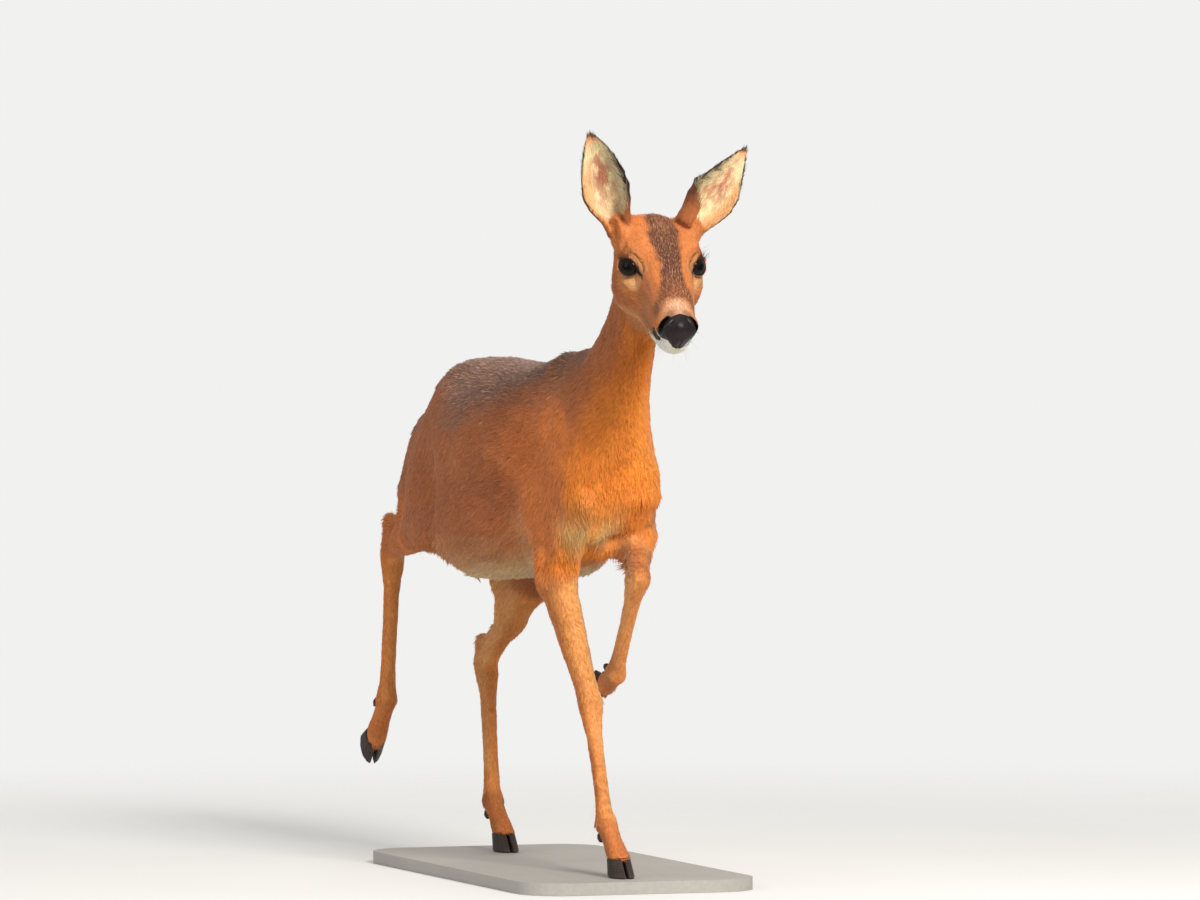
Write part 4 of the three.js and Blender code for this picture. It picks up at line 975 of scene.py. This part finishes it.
def nose_material():
    """Wet black leather with fine pebbles."""
    m = Shader("nose_leather", Specular_IOR_Level=0.22)
    place = m.place()
    pebbles = m.add("TexVoronoi", {"Vector": place, "Scale": 900.0}, feature="SMOOTH_F1").outputs["Distance"]
    spots = m.noise(place, 160.0)
    m.set("Base Color", m.between(spots, (0.006, 0.0045, 0.005), (0.022, 0.015, 0.015)))
    m.set("Roughness", m.scaled(spots, 0.22, 0.42))
    m.relief(pebbles, 0.0005, 0.6)
    return m.material


def grained(name, scale, detail, tones, rough, **values):
    """A surface in the piece's own tint, whose grains differ in tone and roughness."""
    m = Shader(name, **values)
    grain = m.noise(m.place(), scale, detail)
    m.tinted(grain, *tones)
    m.set("Roughness", m.scaled(grain, *rough))
    return m


def horn_material():
    """Dark horn with growth lines, dull where it is worn."""
    m = grained("claw_horn", 120.0, 5.0, (0.7, 1.35), (0.38, 0.62), Specular_IOR_Level=0.4)
    m.relief(m.noise(m.place(), 420.0), 0.0006, 0.5)
    return m.material


def base_material():
    """Wood under matt stone-grey paint, whose grain shows a little."""
    m = Shader("base_painted_wood", Specular_IOR_Level=0.35)
    place = m.place()
    grain = m.noise(place, 26.0, 6.0, (7, 0.35, 7))
    paint = m.between(grain, (0.36, 0.34, 0.31), (0.47, 0.455, 0.425))
    m.set("Base Color", m.times(paint, m.scaled(m.noise(place, 6.0), 0.94, 1.05)))
    m.set("Roughness", m.scaled(grain, 0.62, 0.78))
    m.relief(grain, 0.0006, 0.35)
    return m.material


skin_ob = new_object("skin", skin, tris)
add_colour(skin_ob, colour * 0.9)
add_value(skin_ob, "bare", bare)
add_uv(skin_ob, uv)
finished(skin_ob, skin_material(), "coat", *[node for node in FLESH if node != "nose"])

# ---- the coat

ASKED, MOST, QUICK_PART = 440_000, 66_000, 6
PIECES = {
    "coat_head": ["head", "nose"], "coat_ear_right": ["ear_right"], "coat_ear_left": ["ear_left"],
    "coat_neck": ["neck"], "coat_trunk": ["trunk"], "coat_thighs": ["thigh_right", "thigh_left"],
    "coat_tail": ["tail"],
    "coat_forelegs": [n for n in LIMBS if n.startswith("fore")],
    "coat_hindlegs": [n for n in LIMBS if n.startswith(("shank", "hind"))],
}


def scattered(total):
    """Roots spread evenly by the wished density: their face and place on it, in a fixed random order."""
    a, b, c = (skin[tris[:, k]] for k in range(3))
    area = np.linalg.norm(np.cross(b - a, c - a), axis=1) / 2 / MM ** 2
    sums = np.cumsum(area * density[tris].mean(1))
    face = np.searchsorted(sums, (np.arange(total) + rng.random(total)) / total * sums[-1])
    u, v = folded(rng.random((2, total)))
    return face, np.stack([1 - u - v, u, v], 1)


def tufts(face, bary):
    """Points, faces, colours and unwrap of keeled tufts, three faces each, that lie along the skin."""
    corners = tris[face]

    def at_root(values):
        return np.einsum("nk,nk...->n...", bary, values[corners])

    n = len(face)
    root, up, lie = at_root(skin), unit(at_root(normal)), unit(at_root(flow))
    long = at_root(length) * MM * rng.uniform(0.72, 1.25, n)
    wide = at_root(width) * MM * rng.uniform(0.75, 1.25, n)
    high = at_root(rise) * MM * rng.uniform(0.45, 1.25, n) * (0.75 + 0.5 * noise(root, 16 * MM, 9))
    turn = rng.normal(0, 0.17, n) + 0.5 * (noise(root, 12 * MM, 10) - 0.5)
    side = np.cross(up, lie)
    lie = unit(lie * np.cos(turn)[:, None] + side * np.sin(turn)[:, None])
    side = np.cross(up, lie)
    root = root - up * (0.15 * high)[:, None]
    half = side * (wide / 2)[:, None]
    keel = root + lie * (0.45 * long)[:, None] + up * (0.8 * high)[:, None]
    tip = root + lie * long[:, None] + up * (high * rng.uniform(0.85, 1.15, n))[:, None]
    co = np.stack([root - half, root + half, keel, tip], 1).reshape(-1, 3)
    k = np.arange(n)[:, None, None] * 4
    faces = (np.array([[1, 0, 2], [0, 3, 2], [1, 2, 3]]) + k).reshape(-1, 3)
    vary = np.exp(rng.normal(0, 1, n) * at_root(grizzle))[:, None]
    own = at_root(colour) * np.clip(vary, 0.4, 2.2)
    own = np.where((rng.random(n) < at_root(hoary))[:, None], own * 0.25 + tint(214, 160, 116) * 0.75, own)
    shade = np.array([0.72, 0.72, 1.02, 1.18])
    tints = (own[:, None, :] * shade[:, None]).reshape(-1, 3)
    here = np.einsum("nk,nkc->nc", bary, uv[face])
    spot = np.array([[-0.0008, -0.0012], [0.0008, -0.0012], [0, 0.0002], [0, 0.0014]])
    patch = here[:, None] + spot
    return co, faces, tints, patch.reshape(-1, 2)[faces.ravel()]


roots_face, roots_bary = scattered(ASKED)
root_owner = owner[tris[roots_face, 0]]
coat_materials = {
    "head": coat_material("coat_face", 0.6, 420.0), "ear": coat_material("coat_ears", 0.62, 380.0),
    "body": coat_material("coat_body", 0.58, 260.0),
}
for name, nodes in PIECES.items():
    mine = np.flatnonzero(np.isin(root_owner, [FLESH.index(node) for node in nodes]))
    mine = mine[np.argsort(skin[tris[roots_face[mine], 0], 1], kind="stable")]
    pieces = max(1, math.ceil(len(mine) / MOST))
    for k, chosen in enumerate(np.array_split(mine, pieces)):
        co, faces, tints, patch = tufts(roots_face[chosen], roots_bary[chosen])
        ob = new_object(name + (f"_{k + 1}" if pieces > 1 else ""), co, faces)
        add_colour(ob, tints)
        add_uv(ob, patch)
        kind = next((kind for kind in ("head", "ear") if kind in name), "body")
        finished(ob, coat_materials[kind], "ear" if kind == "ear" else "coat")

# ---- nose, eyes, lashes, whiskers, claws

def closed_shell(faces, outer, inner):
    """A closed sheet between two offsets of some faces."""
    n = len(outer)
    sides = sides_of(faces)
    a, b = sides[~np.isin(sides @ [n, 1], sides @ [1, n])].T
    wall = np.concatenate([np.stack([b, a, a + n], 1), np.stack([b, a + n, b + n], 1)])
    return np.concatenate([outer, inner]), np.concatenate([faces, faces[:, ::-1] + n, wall])


pad_co, pad_faces = kept(skin, tris, pad > -0.2)
pad_co, pad_faces = largest(pad_co, pad_faces)
pad_normal = normals_of(pad_co, pad_faces)
pad_at = to_head(pad_co)
inset = pad_margin(pad_at)
wing = both_sides(NOSTRIL, pad_at)[0]
swell = (0.75 * ramp(inset, 0, 1.8) - 0.35) * (1 - 0.75 * ramp(wing, 4.5, 2.5))
nose_ob = new_object("nose_pad", *closed_shell(
    pad_faces, pad_co + pad_normal * (swell * MM)[:, None], pad_co - pad_normal * 0.9 * MM))
finished(nose_ob, nose_material(), "nose", "nose")


def eyeball(side):
    """A ball with a bulging cornea, its iris and its long pupil in the tint."""
    flip, turns, rings = FLIP[side], 72, 44
    angle = np.concatenate([[0.0], np.linspace(0, 1, rings)[1:] ** 0.9 * np.pi])
    spin = np.arange(turns) * 2 * np.pi / turns
    a, s = (m.ravel() for m in np.meshgrid(angle[1:-1], spin, indexing="ij"))
    a, s = np.concatenate([[0.0], a, [np.pi]]), np.concatenate([[0.0], s, [0.0]])
    way = eye_way(a, s) * flip
    ball = EYE_BALL + 0.8 * MM * bump(np.degrees(a), 0, 34)
    co = from_head(EYE_SPOT * flip) + (way * ball[:, None]) @ HEAD_TURN.T
    k = 1 + np.arange((rings - 2) * turns).reshape(rings - 2, turns)
    p, q = k[:-1], k[1:]
    faces = np.concatenate([
        halved(np.stack([p, q, np.roll(q, -1, 1), np.roll(p, -1, 1)], -1).reshape(-1, 4)),
        np.stack([np.zeros(turns, int), k[0], np.roll(k[0], -1)], 1),
        np.stack([np.full(turns, len(a) - 1), np.roll(k[-1], -1), k[-1]], 1)])
    if np.linalg.det(np.array([EYE_FACING, EYE_AHEAD, EYE_UP])) * flip[0] < 0:
        faces = faces[:, ::-1]
    ob = new_object(f"eyeball_{side}", co, faces)
    wide, tall = np.degrees(a) * np.cos(s), np.degrees(a) * np.sin(s)
    pupil = ramp(np.hypot(wide / 27, tall / 16), 1.15, 0.9)
    iris = ramp(np.degrees(a), 46, 42)
    add_colour(ob, layered((16, 11, 10), ((30, 17, 12), iris), ((4, 4, 6), pupil)))
    finished(ob, eye_gloss, "eye", f"eye_{side}")


def strands(name, roots, ways, bends, lengths, thick, tints):
    """Single hairs as thin three-sided cones, curved by bends."""
    steps = 6
    t = np.linspace(0, 1, steps)[None, :, None]
    line = roots[:, None] + (ways[:, None] * t + bends[:, None] * t ** 2) * lengths[:, None, None]
    tangent = unit(ways[:, None] + 2 * bends[:, None] * t)
    side = unit(np.cross(tangent, np.broadcast_to([0.31, 0.17, 0.94], tangent.shape)))
    front = np.cross(tangent, side)
    size = thick * (1 - 0.92 * t)
    rings = []
    for k in range(3):
        c, s = math.cos(2 * math.pi * k / 3), math.sin(2 * math.pi * k / 3)
        rings.append(line + (side * c + front * s) * size)
    co = np.stack(rings, 2).reshape(-1, 3)
    n = len(roots)
    base = np.arange(n)[:, None, None] * steps * 3 + np.arange(steps - 1)[:, None] * 3
    k = np.arange(3)
    a, b = base + k, base + (k + 1) % 3
    quad = np.stack([a, b, b + 3, a + 3], -1).reshape(-1, 4)
    first = np.arange(n)[:, None] * steps * 3
    ends = np.concatenate([first + [2, 1, 0], first + (steps - 1) * 3 + [0, 1, 2]])
    ob = new_object(name, co, np.concatenate([halved(quad), ends]))
    add_colour(ob, np.repeat(tints, steps * 3, axis=0))
    return ob


# How far from the ball's middle the lashes grow, just inside the lid's edge.
LASH_ROOT = 17.2


def lashes(side):
    """Long dark lashes along the upper lid, thicker towards the outer corner."""
    flip, n = FLIP[side], 70
    around = np.sort(rng.uniform(28, 172, n))
    spin = np.radians(around)
    way = eye_way(np.radians(lid_opening(around) + 2.2), spin)
    roots = from_head((EYE_SPOT + way * LASH_ROOT) * flip)
    lean = unit(way * 0.9 + outward(spin) * 0.35 + rng.normal(0, 0.08, (n, 3)))
    droop = outward(spin) * 0.45 - EYE_AHEAD * 0.15 + rng.normal(0, 0.05, (n, 3))
    sizes = rng.uniform(5.5, 9.5, n) * (0.6 + 0.4 * ramp(around, 40, 90)) * MM
    ob = strands(f"lashes_{side}", roots, (lean * flip) @ HEAD_TURN.T, (droop * flip) @ HEAD_TURN.T, sizes,
                 0.16 * MM, np.tile(tint(22, 15, 13), (n, 1)))
    finished(ob, single_hair, "coat")


LIP_HAIRS, BROW_HAIRS = 64, 10


def whiskers():
    """Stiff hairs on the lips, chin and brows."""
    lips = np.flatnonzero((hz > 72) & (hy < -36) & (pad < -3) & (mouth > 2.5) & (nostril > 5))
    lips = rng.choice(lips, LIP_HAIRS, replace=False)
    brows = np.flatnonzero((eye_distance < 26) & (beyond_lid > 12) & (beyond_lid < 24) & (eye_around > 40)
                           & (eye_around < 130) & (on_face > 0.5))
    roots = np.concatenate([lips, rng.choice(brows, BROW_HAIRS, replace=False)])
    n = len(roots)
    way = unit(normal[roots] * 0.9 + flow[roots] * 0.45 + rng.normal(0, 0.16, (n, 3)))
    bend = flow[roots] * 0.35 + np.array([0, 0, -0.2]) + rng.normal(0, 0.08, (n, 3))
    tints = np.where((hy[roots] < -52)[:, None], tint(226, 216, 200), tint(44, 32, 27))
    ob = strands("whiskers", skin[roots], way, bend, rng.uniform(9, 24, n) * MM, 0.17 * MM, tints)
    finished(ob, single_hair, "coat")


def claws():
    """The claws and dewclaws with rounded edges and rings of growth."""
    names = [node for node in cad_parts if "claw" in node]
    parts, faces, shades, n = [], [], [], 0
    for node in names:
        small = "dewclaw" in node
        co, quads = remeshed([node], (0.9 if small else 1.3) * MM, 0)
        co = spread(co, edges_of(quads), 10, 0.5, back=-0.52)
        up = (co[:, 2] - co[:, 2].min()) / MM
        rings = np.sin(up / (2.6 if small else 3.4) * 2 * np.pi + 3 * noise(co, 18 * MM, 12))
        parts.append(co + normals_of(co, quads) * (0.16 * MM * rings * ramp(up, 2, 6))[:, None])
        faces.append(quads + n)
        n += len(co)
        tone = 0.75 + 0.2 * rings + 0.5 * ramp(up, 8, 0)
        shades.append(np.tile(tint(58, 45, 38), (len(co), 1)) * tone[:, None])
    ob = new_object("claws", np.concatenate(parts), np.concatenate(faces))
    add_colour(ob, np.concatenate(shades))
    finished(ob, horn_material(), "horn", *names)


eye_gloss = grained("eye_glass", 900.0, 4.0, (0.7, 1.3), (0.03, 0.05), Specular_IOR_Level=0.14).material
single_hair = grained("single_hairs", 300.0, 3.0, (0.8, 1.2), (0.4, 0.55), Specular_IOR_Level=0.4).material
for side in SIDES:
    eyeball(side)
    lashes(side)
whiskers()
claws()
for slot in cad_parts["stand_base"].material_slots:
    slot.material = base_material()

# ---- floor, light and camera

# The floor's rings in metres, and where it starts and ends to fade.
FLOOR_RINGS = (1.2, 3.0, 4.5)
FADE_FROM, FADE_TO = 0.8, 2.6
PALE = 0.86


def floor_material():
    """Pale floor that fades out into the background, so that only the shadow near the animal shows."""
    m = Shader("floor_pale", Roughness=0.9, Specular_IOR_Level=0.1)
    place = m.place()
    m.set("Base Color", m.times((PALE, PALE, PALE * 0.985), m.scaled(m.noise(place, 3.0), 0.985, 1.01)))
    flat = m.add("VectorMath", {0: place, 1: (1, 1, 0)}, operation="MULTIPLY").outputs[0]
    out = m.add("VectorMath", {0: flat}, operation="LENGTH").outputs["Value"]
    fade = m.add("MapRange", {"Value": out, "From Min": FADE_FROM, "From Max": FADE_TO},
                 interpolation_type="SMOOTHSTEP").outputs["Result"]
    clear = m.add("BsdfTransparent").outputs[0]
    mix = m.add("MixShader", {0: fade, 1: m.surface.outputs[0], 2: clear})
    m.tree.links.new(mix.outputs[0], m.tree.nodes["Material Output"].inputs["Surface"])
    return m.material


turns = 96
ring_angle = np.arange(turns) * 2 * np.pi / turns
ring = np.stack([np.cos(ring_angle), np.sin(ring_angle), np.zeros(turns)], 1)
floor_co = np.concatenate([[[0, 0, 0]], *(ring * radius for radius in FLOOR_RINGS)])
k = np.arange(turns)
floor_faces = [np.stack([np.zeros(turns, int), 1 + k, 1 + (k + 1) % turns], 1)]
for row in range(2):
    a, b = 1 + row * turns + k, 1 + row * turns + (k + 1) % turns
    floor_faces.append(halved(np.stack([a, a + turns, b + turns, b], 1)))
floor_co += [0, 0, base_low[2] - 0.3 * MM]
floor = new_object("floor", floor_co, np.concatenate(floor_faces), smooth=False)
floor.data.materials.append(floor_material())

scene.world = bpy.data.worlds.new("studio")
scene.world.use_nodes = True
tree = scene.world.node_tree
tree.nodes.clear()


def sky(colour, strength):
    """A plain background of one colour."""
    made = tree.nodes.new("ShaderNodeBackground")
    made.inputs["Color"].default_value = (*colour, 1)
    made.inputs["Strength"].default_value = strength
    return made.outputs[0]


seen = tree.nodes.new("ShaderNodeLightPath")
either = tree.nodes.new("ShaderNodeMixShader")
end = tree.nodes.new("ShaderNodeOutputWorld")
tree.links.new(seen.outputs["Is Camera Ray"], either.inputs[0])
tree.links.new(sky((1.0, 0.98, 0.95), 0.4), either.inputs[1])
tree.links.new(sky((0.88, 0.88, 0.87), 1.0), either.inputs[2])
tree.links.new(either.outputs[0], end.inputs["Surface"])

AIM = Vector(ORIGIN + np.array([61, 0, 542]) * MM)


def stood(ob, azimuth, rise, distance):
    """Puts a lamp or camera at that azimuth and height in degrees, turned to the animal's middle."""
    azimuth, rise = math.radians(azimuth), math.radians(rise)
    back = Vector((math.sin(azimuth) * math.cos(rise), -math.cos(azimuth) * math.cos(rise), math.sin(rise)))
    turn = back.to_track_quat("Z", "Y").to_matrix().to_4x4()
    ob.matrix_world = Matrix.Translation(AIM + back * distance) @ turn
    scene.collection.objects.link(ob)


def lamp(name, azimuth, rise, distance, size, level, colour):
    """A square soft box. Level 1 lights a white surface that faces it to plain white."""
    data = bpy.data.lights.new(name, "AREA")
    data.shape = "SQUARE"
    data.size = size
    data.energy = level * math.pi ** 2 * distance ** 2
    data.color = colour
    stood(bpy.data.objects.new(name, data), azimuth, rise, distance)


lamp("key", 4, 30, 4.5, 1.2, 0.9, (1.0, 0.965, 0.91))
lamp("fill", -75, 18, 5.0, 3.0, 0.16, (0.97, 0.98, 1.0))
lamp("top", -20, 80, 4.5, 3.0, 0.14, (1, 1, 1))
lamp("behind", 170, 35, 5.0, 2.5, 0.22, (1, 0.99, 0.97))

camera = bpy.data.cameras.new("camera")
camera.sensor_width = 36
camera.lens = 364.8
camera.clip_end = 200
scene.camera = bpy.data.objects.new("camera", camera)
stood(scene.camera, -19.7, 2.2, 16.0)
scene.view_settings.view_transform = "Standard"
